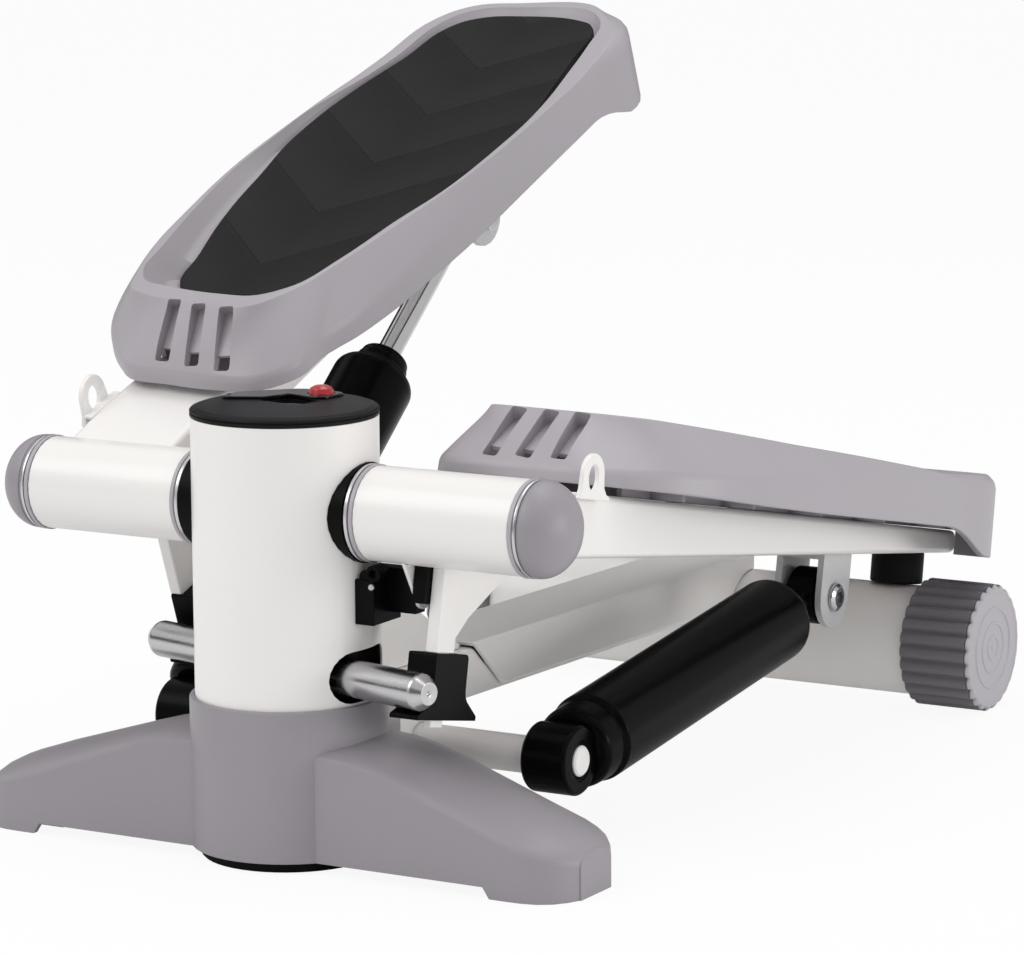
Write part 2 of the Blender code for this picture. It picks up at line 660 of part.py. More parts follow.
def make_base():
    cover = loft("base_cover", leg_rings(0.0, 0.0), GREY_PLASTIC)
    collar = turned(
        "collar_form",
        (
            (0.0, COLLAR_TOP),
            (COLLAR_RADIUS - 1.0 * MM, COLLAR_TOP),
            (COLLAR_RADIUS - 0.3 * MM, COLLAR_TOP - 0.3 * MM),
            (COLLAR_RADIUS, COLLAR_TOP - 1.0 * MM),
            (COLLAR_RADIUS, UNDERSIDE),
            (0.0, UNDERSIDE),
        ),
        sides=48,
    )
    hollow = loft("leg_hollow", leg_rings(LEG_WALL, -10.0 * MM))
    past = 10 * MM
    bore = cylinder("collar_bore", COLUMN_RADIUS + SEAT, (0, 0, -past), (0, 0, COLLAR_TOP + past), sides=48)
    notch_half = SPINE_HALF_WIDTH + SEAT
    notch = box(
        "spine_notch",
        (-notch_half, COLUMN_RADIUS / 2, SPINE_BOTTOM - SEAT - 1.0 * MM),
        (notch_half, COLLAR_RADIUS + 20 * MM, COLLAR_TOP + 10 * MM),
    )
    join(cover, collar)
    cut(cover, hollow, bore, notch)

    crossbar = box(
        "base_crossbar",
        (-CROSSBAR_HALF_LENGTH, -CROSSBAR_WIDTH / 2, CROSSBAR_BOTTOM),
        (CROSSBAR_HALF_LENGTH, CROSSBAR_WIDTH / 2, CROSSBAR_TOP),
        STEEL,
        bevel=1.2 * MM,
    )
    crossbar_bore = box(
        "crossbar_bore",
        (-CROSSBAR_HALF_LENGTH * 2, -CROSSBAR_WIDTH / 2 + CROSSBAR_WALL, CROSSBAR_BOTTOM + CROSSBAR_WALL),
        (CROSSBAR_HALF_LENGTH * 2, CROSSBAR_WIDTH / 2 - CROSSBAR_WALL, CROSSBAR_TOP - CROSSBAR_WALL),
    )
    cut(crossbar, crossbar_bore)

    pad_top = UNDERSIDE - SEAT
    turned(
        "base_pad",
        (
            (0.0, pad_top),
            (PAD_RADIUS, pad_top),
            (PAD_RADIUS, 0.8 * MM),
            (PAD_RADIUS - 0.8 * MM, 0.0),
            (0.0, 0.0),
        ),
        BLACK_RUBBER,
        sides=48,
    )
    for side in (1, -1):
        end = CROSSBAR_HALF_LENGTH + FOOT_PAD_PAST
        box(
            side_name("foot_pad", side),
            (side * (end - FOOT_PAD_LENGTH), -FOOT_PAD_WIDTH / 2, 0.0),
            (side * end, FOOT_PAD_WIDTH / 2, pad_top),
            BLACK_RUBBER,
        )


def make_column():
    inner = COLUMN_RADIUS - COLUMN_WALL
    column = turned(
        "column_tube",
        (
            (COLUMN_RADIUS, COLUMN_TOP), (COLUMN_RADIUS, COLUMN_BOTTOM),
            (inner, COLUMN_BOTTOM), (inner, COLUMN_TOP),
        ),
        WHITE_PAINT,
        sides=48,
    )
    reach = COLUMN_RADIUS + 10 * MM
    half = SLOT_HALF_WIDTH
    low = ROD_HEIGHT - SLOT_HEIGHT / 2
    high = ROD_HEIGHT + SLOT_HEIGHT / 2
    round_end = SLOT_HEIGHT / 2 - 0.01 * MM
    slot = plate(
        "rod_slot",
        fillet(
            [
                (-half, low, round_end), (half, low, round_end),
                (half, high, round_end), (-half, high, round_end),
            ]
        ),
        -reach,
        reach,
    )
    hole = cylinder(
        "bush_hole", BUSH_BOSS_RADIUS + SEAT, (-reach, 0, PIVOT_HEIGHT), (reach, 0, PIVOT_HEIGHT)
    )
    inside = (COLUMN_RADIUS / 2, WIRE_Y, WIRE_Z)
    lead = cylinder("wire_hole", 2.0 * MM, inside, (reach, WIRE_Y, WIRE_Z), sides=16)
    cut(column, slot, hole, lead)



def make_display():
    rim = COLUMN_RADIUS + CAP_OVERHANG
    skirt = COLUMN_RADIUS - COLUMN_WALL - SEAT
    cap = turned(
        "display_cap",
        (
            (0.0, CAP_TOP),
            (rim - 1.8 * MM, CAP_TOP),
            (rim - 0.5 * MM, CAP_TOP - 0.5 * MM),
            (rim, CAP_TOP - 1.2 * MM),
            (rim, CAP_TOP - 1.8 * MM),
            (rim - 0.6 * MM, CAP_TOP - 2.0 * MM),
            (rim - 0.6 * MM, CAP_TOP - 2.4 * MM),
            (rim, CAP_TOP - 2.6 * MM),
            (rim, CAP_BOTTOM),
            (skirt, CAP_BOTTOM),
            (skirt, CAP_BOTTOM - CAP_SKIRT),
            (skirt - CAP_WALL, CAP_BOTTOM - CAP_SKIRT),
            (skirt - CAP_WALL, DECK_UNDERSIDE),
            (0.0, DECK_UNDERSIDE),
        ),
        BLACK_PLASTIC,
        sides=48,
    )
    button_hole = BUTTON_RADIUS + SEAT
    outline = fillet(LENS_CORNERS)
    lens_top = CAP_TOP + LENS_RISE
    lens_bottom = lens_top - LENS_THICKNESS
    pocket = plate(
        "lens_pocket", fillet(grown(LENS_CORNERS, SEAT)), lens_bottom - SEAT, CAP_TOP + 5 * MM, axis="Z"
    )
    through = cylinder(
        "button_hole",
        button_hole,
        (BUTTON_X, BUTTON_Y, DECK_UNDERSIDE - 2 * MM),
        (BUTTON_X, BUTTON_Y, CAP_TOP + 5 * MM),
        sides=32,
    )
    cut(cap, pocket, through)
    lens = plate("display_lens", outline, lens_bottom, lens_top, BLACK_GLOSS, axis="Z")
    cut(lens, through)

    button_top = CAP_TOP + BUTTON_RISE
    button = turned(
        "reset_button",
        (
            (0.0, button_top - CAP_TOP),
            (BUTTON_RADIUS * 0.42, button_top - CAP_TOP - 0.15 * MM),
            (BUTTON_RADIUS * 0.74, button_top - CAP_TOP - 0.75 * MM),
            (BUTTON_RADIUS * 0.94, button_top - CAP_TOP - 1.8 * MM),
            (BUTTON_RADIUS, button_top - CAP_TOP - 2.8 * MM),
            (BUTTON_RADIUS, DECK_UNDERSIDE - SEAT - CAP_TOP),
            (BUTTON_RADIUS + 1.6 * MM, DECK_UNDERSIDE - SEAT - CAP_TOP),
            (BUTTON_RADIUS + 1.6 * MM, DECK_UNDERSIDE - SEAT - 1.2 * MM - CAP_TOP),
            (2.0 * MM, DECK_UNDERSIDE - SEAT - 1.2 * MM - CAP_TOP),
            (2.0 * MM, BOARD_BOTTOM + BOARD_THICKNESS + BUTTON_TRAVEL + SEAT - CAP_TOP),
            (0.0, BOARD_BOTTOM + BOARD_THICKNESS + BUTTON_TRAVEL + SEAT - CAP_TOP),
        ),
        RED_PLASTIC,
        sides=24,
    )
    button.location = (BUTTON_X, BUTTON_Y, CAP_TOP)
    turned(
        "display_board",
        (
            (0.0, BOARD_BOTTOM + BOARD_THICKNESS),
            (skirt - CAP_WALL - SEAT, BOARD_BOTTOM + BOARD_THICKNESS),
            (skirt - CAP_WALL - SEAT, BOARD_BOTTOM),
            (0.0, BOARD_BOTTOM),
        ),
        GREEN_BOARD,
        sides=24,
    )
    battery_z = BOARD_BOTTOM - SEAT - BATTERY_RADIUS
    cylinder(
        "battery_cell",
        BATTERY_RADIUS,
        (-BATTERY_LENGTH / 2, BATTERY_Y, battery_z),
        (BATTERY_LENGTH / 2, BATTERY_Y, battery_z),
        COPPER_CELL,
        sides=16,
    )


def grown(corners, margin):
    """The corners of a convex outline moved out by a margin."""
    out = []
    count = len(corners)
    for i, (x, y, radius) in enumerate(corners):
        here = Vector((x, y))
        before = (here - Vector(corners[i - 1][:2])).normalized()
        after = (Vector(corners[(i + 1) % count][:2]) - here).normalized()
        normal = Vector((before.y, -before.x)) + Vector((after.y, -after.x))
        reach = margin * 2 / normal.length_squared
        moved = here + normal * reach
        out.append((moved.x, moved.y, radius + margin))
    return out


def make_pivot():
    reach = AXLE_END
    axle = turned(
        "pivot_axle",
        (
            (0.0, reach),
            (AXLE_RADIUS - 0.8 * MM, reach),
            (AXLE_RADIUS, reach - 0.8 * MM),
            (AXLE_RADIUS, -reach + 0.8 * MM),
            (AXLE_RADIUS - 0.8 * MM, -reach),
            (0.0, -reach),
        ),
        STEEL,
        axis="X",
        sides=20,
    )
    axle.location = (0, 0, PIVOT_HEIGHT)
    column_form = cylinder(
        "column_form", COLUMN_RADIUS + SEAT, (0, 0, 0), (0, 0, COLUMN_TOP + 50 * MM), sides=48
    )
    for side in (1, -1):
        inner = side * (COLUMN_RADIUS - 9.0 * MM)
        outer = side * (COLUMN_RADIUS + BUSH_LIP)
        bush = cylinder(
            side_name("pivot_bush", side), BUSH_RADIUS,
            (inner, 0, PIVOT_HEIGHT), (outer, 0, PIVOT_HEIGHT), BLACK_PLASTIC
        )
        boss = cylinder(
            side_name("bush_boss", side),
            BUSH_BOSS_RADIUS,
            (side * (COLUMN_RADIUS - BUSH_BOSS_DEPTH), 0, PIVOT_HEIGHT),
            (outer - side * 0.3 * MM, 0, PIVOT_HEIGHT),
        )
        bore = cylinder(
            side_name("bush_bore", side),
            AXLE_RADIUS + RUNNING,
            (0, 0, PIVOT_HEIGHT),
            (2 * outer, 0, PIVOT_HEIGHT),
            sides=32,
        )
        cut(bush, column_form)
        join(bush, boss)
        cut(bush, bore)
    return column_form


def sloped_box(name, low, high, mat=None, bevel=0.0):
    """A box along the spine, which falls gently from the column to the rear tube."""
    obj = box(name, low, high, mat, None, bevel)
    turn = Matrix.Rotation(-SPINE_SLOPE, 4, "X")
    pivot = Matrix.Translation((0, COLUMN_RADIUS, 0))
    obj.data.transform(pivot @ turn @ pivot.inverted())
    return obj


def make_spine(column_form):
    across = 2 * CHANNEL_HALF_WIDTH
    rear_form = cylinder(
        "rear_form", REAR_TUBE_RADIUS + SEAT, (-across, REAR_Y, REAR_Z), (across, REAR_Y, REAR_Z), sides=48
    )
    spine = sloped_box(
        "spine_tube",
        (-SPINE_HALF_WIDTH, 0, SPINE_BOTTOM),
        (SPINE_HALF_WIDTH, REAR_Y - 8 * MM, SPINE_TOP),
        WHITE_PAINT,
        1.5 * MM,
    )
    spine_bore = sloped_box(
        "spine_bore",
        (-SPINE_HALF_WIDTH + SPINE_WALL, -20 * MM, SPINE_BOTTOM + SPINE_WALL),
        (SPINE_HALF_WIDTH - SPINE_WALL, REAR_Y + 40 * MM, SPINE_TOP - SPINE_WALL),
    )
    cut(spine, spine_bore, column_form, rear_form)

    channel_top = SPINE_TOP + SEAT + CHANNEL_WALL
    channel_bottom = channel_top - CHANNEL_DEPTH
    channel = sloped_box(
        "spine_channel",
        (-CHANNEL_HALF_WIDTH, CHANNEL_FRONT, channel_bottom),
        (CHANNEL_HALF_WIDTH, REAR_Y + 2 * MM, channel_top),
        WHITE_PAINT,
        1.5 * MM,
    )
    channel_bore = sloped_box(
        "channel_bore",
        (-SPINE_HALF_WIDTH - SEAT, -20 * MM, channel_bottom - 20 * MM),
        (SPINE_HALF_WIDTH + SEAT, REAR_Y + 40 * MM, SPINE_TOP + SEAT),
    )
    reach = CHANNEL_HALF_WIDTH + 5 * MM
    mouth = plate(
        "channel_mouth",
        [
            (CHANNEL_FRONT - 30 * MM, channel_top + 10 * MM),
            (CHANNEL_FRONT - 10 * MM, channel_top + 10 * MM),
            (CHANNEL_FRONT + CHANNEL_CUT, channel_bottom - 5 * MM),
            (CHANNEL_FRONT - 30 * MM, channel_bottom - 5 * MM),
        ],
        -reach,
        reach,
    )
    cut(channel, channel_bore, rear_form, mouth)

    strut_low = SPINE_TOP + SEAT
    half = STRUT_WIDTH / 2
    strut = plate(
        "column_strut",
        [
            (0.0, strut_low),
            (STRUT_REACH - 2 * MM, strut_low - 1.2 * MM),
            (STRUT_REACH, strut_low),
            (COLUMN_RADIUS, STRUT_TOP),
            (0.0, STRUT_TOP),
        ],
        -half,
        half,
        WHITE_PAINT,
    )
    spine_clear = sloped_box(
        "spine_clear",
        (-SPINE_HALF_WIDTH * 2, -20 * MM, SPINE_BOTTOM),
        (SPINE_HALF_WIDTH * 2, REAR_Y, strut_low),
    )
    strut_hollow = plate(
        "strut_hollow",
        [
            (-10 * MM, strut_low - 10 * MM),
            (STRUT_REACH - 3 * STRUT_WALL, strut_low - 10 * MM),
            (STRUT_REACH - 3 * STRUT_WALL, strut_low),
            (COLUMN_RADIUS, STRUT_TOP - 1.6 * STRUT_WALL),
            (-10 * MM, STRUT_TOP - 1.6 * STRUT_WALL),
        ],
        -half + STRUT_WALL,
        half - STRUT_WALL,
    )
    cut(strut, strut_hollow, column_form, spine_clear)

    bracket_front = DAMPER_FOOT_Y - BRACKET_AHEAD
    bracket_rear = DAMPER_FOOT_Y + BRACKET_BEHIND
    bracket_bottom = DAMPER_FOOT_Z - BRACKET_BELOW
    bracket_top = SPINE_TOP - BRACKET_SHOULDER
    bracket = box(
        "damper_bracket",
        (-BRACKET_X, bracket_front, bracket_bottom),
        (BRACKET_X, bracket_rear, bracket_top),
        WHITE_PAINT,
    )
    bracket_hollow = box(
        "bracket_hollow",
        (-BRACKET_X + BRACKET_WALL, bracket_front + BRACKET_WALL, bracket_bottom - 20 * MM),
        (BRACKET_X - BRACKET_WALL, bracket_rear + 20 * MM, bracket_top + 20 * MM),
    )
    tube_notch = sloped_box(
        "tube_notch",
        (-SPINE_HALF_WIDTH - SEAT, 0, SPINE_BOTTOM - SEAT),
        (SPINE_HALF_WIDTH + SEAT, REAR_Y, SPINE_TOP + 30 * MM),
    )
    bar_hole = cylinder(
        "bar_hole",
        BAR_RADIUS + SEAT,
        (-2 * BRACKET_X, DAMPER_FOOT_Y, DAMPER_FOOT_Z),
        (2 * BRACKET_X, DAMPER_FOOT_Y, DAMPER_FOOT_Z),
        sides=32,
    )
    cut(bracket, bracket_hollow, tube_notch, bar_hole)

    eye_inner = DAMPER_X - EYE_WIDTH / 2
    eye_outer = DAMPER_X + EYE_WIDTH / 2
    tip = eye_outer + 0.8 * MM
    shoulder = eye_inner - SEAT
    half_profile = [
        (0.0, tip),
        (STUD_RADIUS - 0.8 * MM, tip),
        (STUD_RADIUS, tip - 0.8 * MM),
        (STUD_RADIUS, shoulder),
        (BAR_RADIUS + 0.9 * MM, shoulder),
        (BAR_RADIUS + 0.9 * MM, shoulder - BAR_COLLAR),
        (BAR_RADIUS, shoulder - BAR_COLLAR),
    ]
    bar = turned(
        "damper_bar",
        half_profile + [(radius, -height) for radius, height in reversed(half_profile)],
        WHITE_PAINT,
        axis="X",
        sides=24,
    )
    bar.location = (0, DAMPER_FOOT_Y, DAMPER_FOOT_Z)


def cap_ring(x, side, radius, rib):
    """One ring of the ribbed rear cap, with round ribs and narrow grooves."""
    points = []
    per_rib = 4
    count = REAR_CAP_RIBS * per_rib
    for k in range(count):
        angle = 2 * math.pi * k / count - math.pi / 2
        phase = abs((k % per_rib) / per_rib - 0.5) * 2
        r = radius - rib * (1 - phase) ** 2
        points.append((side * x, REAR_Y + r * math.cos(angle), REAR_Z + r * math.sin(angle)))
    return points


def make_rear():
    reach = REAR_END - REAR_CAP_FACE - SEAT
    tube = turned(
        "rear_tube",
        (
            (REAR_TUBE_RADIUS, reach),
            (REAR_TUBE_RADIUS, -reach),
            (REAR_TUBE_RADIUS - REAR_TUBE_WALL, -reach),
            (REAR_TUBE_RADIUS - REAR_TUBE_WALL, reach),
        ),
        WHITE_PAINT,
        axis="X",
        sides=48,
    )
    tube.location = (0, REAR_Y, REAR_Z)
    for side in (1, -1):
        rings = [
            cap_ring(REAR_CAP_START, side, REAR_CAP_RADIUS - 0.5 * MM, REAR_CAP_GROOVE),
            cap_ring(REAR_CAP_START + 0.6 * MM, side, REAR_CAP_RADIUS, REAR_CAP_GROOVE),
            cap_ring(REAR_END - 2.6 * MM, side, REAR_CAP_RADIUS, REAR_CAP_GROOVE),
            cap_ring(REAR_END - 1.0 * MM, side, REAR_CAP_RADIUS - 0.6 * MM, REAR_CAP_GROOVE),
            cap_ring(REAR_END, side, REAR_CAP_RADIUS - 1.8 * MM, 0.0),
        ]
        cap = loft(side_name("rear_cap", side), rings, PALE_PLASTIC)
        socket = cylinder(
            side_name("cap_socket", side),
            REAR_TUBE_RADIUS + SEAT,
            (side * (REAR_CAP_START - 10 * MM), REAR_Y, REAR_Z),
            (side * (REAR_END - REAR_CAP_FACE), REAR_Y, REAR_Z),
            sides=48,
        )
        cut(cap, socket)


def make_counter(column_form):
    """The step counter's pick-up on the column's right side, with its lead inside the column."""
    left = COLUMN_RADIUS - 6 * MM
    right = COLUMN_RADIUS + SENSOR_WIDTH
    rear = SENSOR_FRONT + SENSOR_DEPTH
    block = box(
        "sensor_block", (left, SENSOR_FRONT, SENSOR_Z), (right, rear, SENSOR_Z + SENSOR_HEIGHT),
        BLACK_PLASTIC, None, 0.6 * MM
    )
    head = box(
        "sensor_head",
        (left + 2 * MM, rear - 9 * MM, SENSOR_Z + 4 * MM),
        (TAB_X - 1.5 * MM, rear - 2 * MM, SENSOR_Z + SENSOR_HEIGHT + 3.5 * MM),
    )
    peg = cylinder(
        "sensor_peg",
        2.9 * MM,
        (right - 4 * MM, SENSOR_FRONT + 0.6 * MM, SENSOR_Z + SENSOR_HEIGHT + 1.0 * MM),
        (right - 4 * MM, rear - 4 * MM, SENSOR_Z + SENSOR_HEIGHT + 1.0 * MM),
        sides=20,
    )
    join(block, head, peg)
    cut(block, column_form)

    curve = bpy.data.curves.new("sensor_lead", "CURVE")
    curve.dimensions = "3D"
    curve.bevel_depth = WIRE_RADIUS
    curve.bevel_resolution = 1
    curve.use_fill_caps = True
    top = BOARD_BOTTOM - SEAT
    route = [
        Vector((COLUMN_RADIUS, WIRE_Y, WIRE_Z)),
        Vector((COLUMN_RADIUS - 5 * MM, WIRE_Y, WIRE_Z)),
        Vector((COLUMN_RADIUS - 10 * MM, WIRE_Y + 3 * MM, WIRE_Z + 3 * MM)),
        Vector((COLUMN_RADIUS - 14 * MM, WIRE_Y + 12 * MM, WIRE_Z + 14 * MM)),
        Vector((COLUMN_RADIUS - 15 * MM, WIRE_Y + 17 * MM, PIVOT_HEIGHT)),
        Vector((COLUMN_RADIUS - 16 * MM, WIRE_Y + 15 * MM, top - 10 * MM)),
        Vector((COLUMN_RADIUS - 16 * MM, WIRE_Y + 15 * MM, top)),
    ]
    points = smooth_path([tuple(point) for point in route], 4)
    spline = curve.splines.new("POLY")
    spline.points.add(len(points) - 1)
    for point, place_at in zip(spline.points, points):
        point.co = (*place_at, 1.0)
    lead = bpy.data.objects.new("sensor_lead", curve)
    curve.materials.append(BLACK_RUBBER)
    PARTS.objects.link(lead)


def smooth_path(knots, per_span):
    """Points of a Catmull-Rom curve through the knots, both ends included."""
    knots = [np.array(knot, float) for knot in knots]
    padded = [2 * knots[0] - knots[1]] + knots + [2 * knots[-1] - knots[-2]]
    points = []
    for a, b, c, d in zip(padded, padded[1:], padded[2:], padded[3:]):
        for k in range(per_span):
            t = k / per_span
            points.append(
                0.5 * (2 * b + (c - a) * t + (2 * a - 5 * b + 4 * c - d) * t**2 + (3 * b - a - 3 * c + d) * t**3)
            )
    points.append(knots[-1])
    return [tuple(point) for point in points]


def make_rocker():
    """The chromed rod that rocks about the column's axis, with its hub and pin."""
    swing = frame("rocker_frame", (0, 0, 0), 0.0, -ROD_YAW)
    profile = [(0.0, ROD_HALF_LENGTH), (2.6 * MM, ROD_HALF_LENGTH), (ROD_RADIUS, ROD_HALF_LENGTH - ROD_TIP)]
    rod = turned(
        "rocker_rod",
        profile + [(radius, -height) for radius, height in reversed(profile)],
        CHROME,
        swing,
        axis="X",
        sides=24,
    )
    rod.location = (0, 0, ROD_HEIGHT)
    pin_clear = cylinder(
        "pin_clear",
        PIN_RADIUS + RUNNING,
        (0, 0, ROD_HEIGHT - 3 * ROD_RADIUS),
        (0, 0, ROD_HEIGHT + 3 * ROD_RADIUS),
        None,
        swing,
        16,
    )
    cut(rod, pin_clear)
    hub_low = ROD_HEIGHT - HUB_HEIGHT / 2
    hub_high = ROD_HEIGHT + HUB_HEIGHT / 2
    hub = cylinder("rocker_hub", HUB_RADIUS, (0, 0, hub_low), (0, 0, hub_high), BLACK_PLASTIC, swing, 24)
    rod_clear = cylinder(
        "rod_clear",
        ROD_RADIUS + SEAT,
        (-2 * HUB_RADIUS, 0, ROD_HEIGHT),
        (2 * HUB_RADIUS, 0, ROD_HEIGHT),
        None,
        swing,
        24,
    )
    cut(hub, rod_clear, pin_clear)
    turned(
        "rocker_pin",
        (
            (0.0, hub_high + 4 * MM),
            (PIN_RADIUS, hub_high + 4 * MM),
            (PIN_RADIUS, hub_low - SEAT),
            (PIN_FOOT_RADIUS, hub_low - SEAT),
            (PIN_FOOT_RADIUS, COLUMN_BOTTOM + PIN_FLANGE),
            (PIN_FLANGE_RADIUS, COLUMN_BOTTOM + PIN_FLANGE),
            (PIN_FLANGE_RADIUS, COLUMN_BOTTOM),
            (0.0, COLUMN_BOTTOM),
        ),
        STEEL,
        sides=16,
    )


# Pieces of one arm, in the arm's own frame: x across, v to the heel, w up, from the pivot


def arm_bottom(v):
    return ARM_BOTTOM_AT_PIVOT + ARM_BOTTOM_SLOPE * v


def make_pivot_sleeve(side, arm):
    """The tube on the axle, with the ring at its inner end and the domed cap at its outer end."""
    spigot = TUBE_RADIUS - TUBE_WALL - SEAT
    bore = AXLE_RADIUS + RUNNING
    turned(
        side_name("pivot_ring", side),
        (
            (spigot, RING_START + RING_WIDTH + SPIGOT_LENGTH),
            (spigot, RING_START + RING_WIDTH),
            (RING_RADIUS, RING_START + RING_WIDTH),
            (RING_RADIUS, RING_START + 1.6 * MM),
            (RING_RADIUS - 0.8 * MM, RING_START + 1.5 * MM),
            (RING_RADIUS - 0.8 * MM, RING_START + 1.1 * MM),
            (RING_RADIUS, RING_START + 1.0 * MM),
            (RING_RADIUS, RING_START + 0.3 * MM),
            (RING_RADIUS - 0.3 * MM, RING_START),
            (bore, RING_START),
            (bore, RING_START + RING_WIDTH + SPIGOT_LENGTH),
        ),
        PALE_PLASTIC,
        arm,
        "X",
        side,
    )
    turned(
        side_name("pivot_tube", side),
        (
            (TUBE_RADIUS, TUBE_END),
            (TUBE_RADIUS, TUBE_START),
            (TUBE_RADIUS - TUBE_WALL, TUBE_START),
            (TUBE_RADIUS - TUBE_WALL, TUBE_END),
        ),
        WHITE_PAINT,
        arm,
        "X",
        side,
    )
    dome = [(0.0, DOME_BASE + DOME_HEIGHT)]
    for k in range(1, 7):
        angle = math.radians(15 * k) if k < 6 else math.radians(88)
        dome.append((RING_RADIUS * math.sin(angle) * 0.99, DOME_BASE + DOME_HEIGHT * math.cos(angle)))
    turned(
        side_name("dome_cap", side),
        (
            *dome,
            (RING_RADIUS - 0.7 * MM, DOME_BASE - 0.4 * MM),
            (RING_RADIUS - 0.7 * MM, DOME_BASE - DOME_NECK + 0.2 * MM),
            (RING_RADIUS, DOME_BASE - DOME_NECK),
            (RING_RADIUS, DOME_START + 0.4 * MM),
            (RING_RADIUS - 0.4 * MM, DOME_START),
            (spigot, DOME_START),
            (spigot, DOME_START - SPIGOT_LENGTH),
            (bore, DOME_START - SPIGOT_LENGTH),
            (bore, AXLE_END + RUNNING),
            (0.0, AXLE_END + RUNNING),
        ),
        GREY_PLASTIC,
        arm,
        "X",
        side,
    )


def make_arm_beam(side, arm, tube_form):
    """The welded box arm. Its underside rises to the heel and its open end is shut by the pedal."""
    front = TUBE_RADIUS * 0.2
    beam = plate(
        side_name("arm_beam", side),
        [
            (front, arm_bottom(front)),
            (ARM_END, arm_bottom(ARM_END)),
            (ARM_END, ARM_TOP),
            (ARM_TOP_START, ARM_TOP),
            (front, ARM_TOP - ARM_TOP_DIP),
        ],
        side * ARM_INNER,
        side * ARM_OUTER,
        WHITE_PAINT,
        arm,
    )
    bevel = beam.modifiers.new("Corner", "BEVEL")
    bevel.width = ARM_CORNER
    bevel.segments = 3
    bevel.limit_method = "ANGLE"
    bevel.angle_limit = math.radians(80)
    wall = ARM_WALL
    hollow = plate(
        side_name("arm_hollow", side),
        [
            (front, arm_bottom(front) + wall),
            (ARM_END * 1.2, arm_bottom(ARM_END * 1.2) + wall),
            (ARM_END * 1.2, ARM_TOP - wall),
            (ARM_TOP_START, ARM_TOP - wall),
            (front, ARM_TOP - ARM_TOP_DIP - wall),
        ],
        side * (ARM_INNER + wall),
        side * (ARM_OUTER - wall),
        None,
        arm,
    )
    cut(beam, hollow, tube_form)


def make_lever(side, arm, tube_form):
    outer = side * LEG_OUTER
    lever_rear = LEVER_FRONT + LEVER_DEPTH
    lever = plate(
        side_name("lever_leg", side),
        [
            (LEVER_FRONT, SHOE_TOP + SEAT),
            (lever_rear, SHOE_TOP + SEAT),
            (lever_rear, arm_bottom(lever_rear) - SEAT),
            (LEVER_FRONT, arm_bottom(LEVER_FRONT) - SEAT),
        ],
        outer,
        outer - side * LEVER_WIDTH,
        WHITE_PAINT,
        arm,
    )
    shoulder = (LEVER_WIDTH - TONGUE_WIDTH) / 2
    tongue_front = LEVER_FRONT + TONGUE_FRONT
    tongue = box(
        side_name("lever_tongue", side),
        (outer - side * shoulder, tongue_front, SHOE_TOP + TONGUE_OVERLAP),
        (outer - side * (LEVER_WIDTH - shoulder), tongue_front + TONGUE_DEPTH, SHOE_BOTTOM - TONGUE_TIP),
        None,
        arm,
    )
    join(lever, tongue)
    cut(lever, tube_form)

    gusset_x = outer - side * LEVER_WIDTH / 2
    half = GUSSET_THICKNESS / 2
    plate(
        side_name("lever_gusset", side),
        fillet(
            [
                (lever_rear + SEAT, arm_bottom(lever_rear) - SEAT),
                (lever_rear + SEAT, -GUSSET_DROP),
                (lever_rear + 2 * MM, -GUSSET_DROP, 1.5 * MM),
                (lever_rear + 11 * MM, -GUSSET_DROP + 8.5 * MM, 10 * MM),
                (GUSSET_REACH, arm_bottom(GUSSET_REACH) - SEAT - 1.0 * MM),
                (GUSSET_REACH, arm_bottom(GUSSET_REACH) - SEAT),
            ]
        ),
        gusset_x - half,
        gusset_x + half,
        WHITE_PAINT,
        arm,
    )

    rear = SHOE_FRONT + SHOE_DEPTH
    lip_front = SHOE_FRONT - SHOE_LIP
    lip_top = SHOE_BOTTOM + SHOE_LIP_THICKNESS
    shoe = plate(
        side_name("rocker_shoe", side),
        fillet(
            [
                (SHOE_FRONT, SHOE_TOP, 1.0 * MM),
                (SHOE_FRONT, lip_top + 5 * MM, 4.5 * MM),
                (lip_front, lip_top),
                (lip_front, SHOE_BOTTOM),
                (rear + SHOE_HEEL, SHOE_BOTTOM),
                (rear + SHOE_HEEL, SHOE_BOTTOM + 2.0 * MM),
                (rear, SHOE_BOTTOM + 9.0 * MM, 6.0 * MM),
                (rear, SHOE_TOP, 2.0 * MM),
            ]
        ),
        outer,
        outer - side * SHOE_WIDTH,
        BLACK_PLASTIC,
        arm,
    )
    socket = box(
        side_name("tongue_socket", side),
        (outer - side * (shoulder - SEAT), tongue_front - SEAT, SHOE_TOP + 10 * MM),
        (
            outer - side * (LEVER_WIDTH - shoulder + SEAT),
            tongue_front + TONGUE_DEPTH + SEAT,
            SHOE_BOTTOM - 10 * MM,
        ),
        None,
        arm,
    )
    cut(shoe, socket)


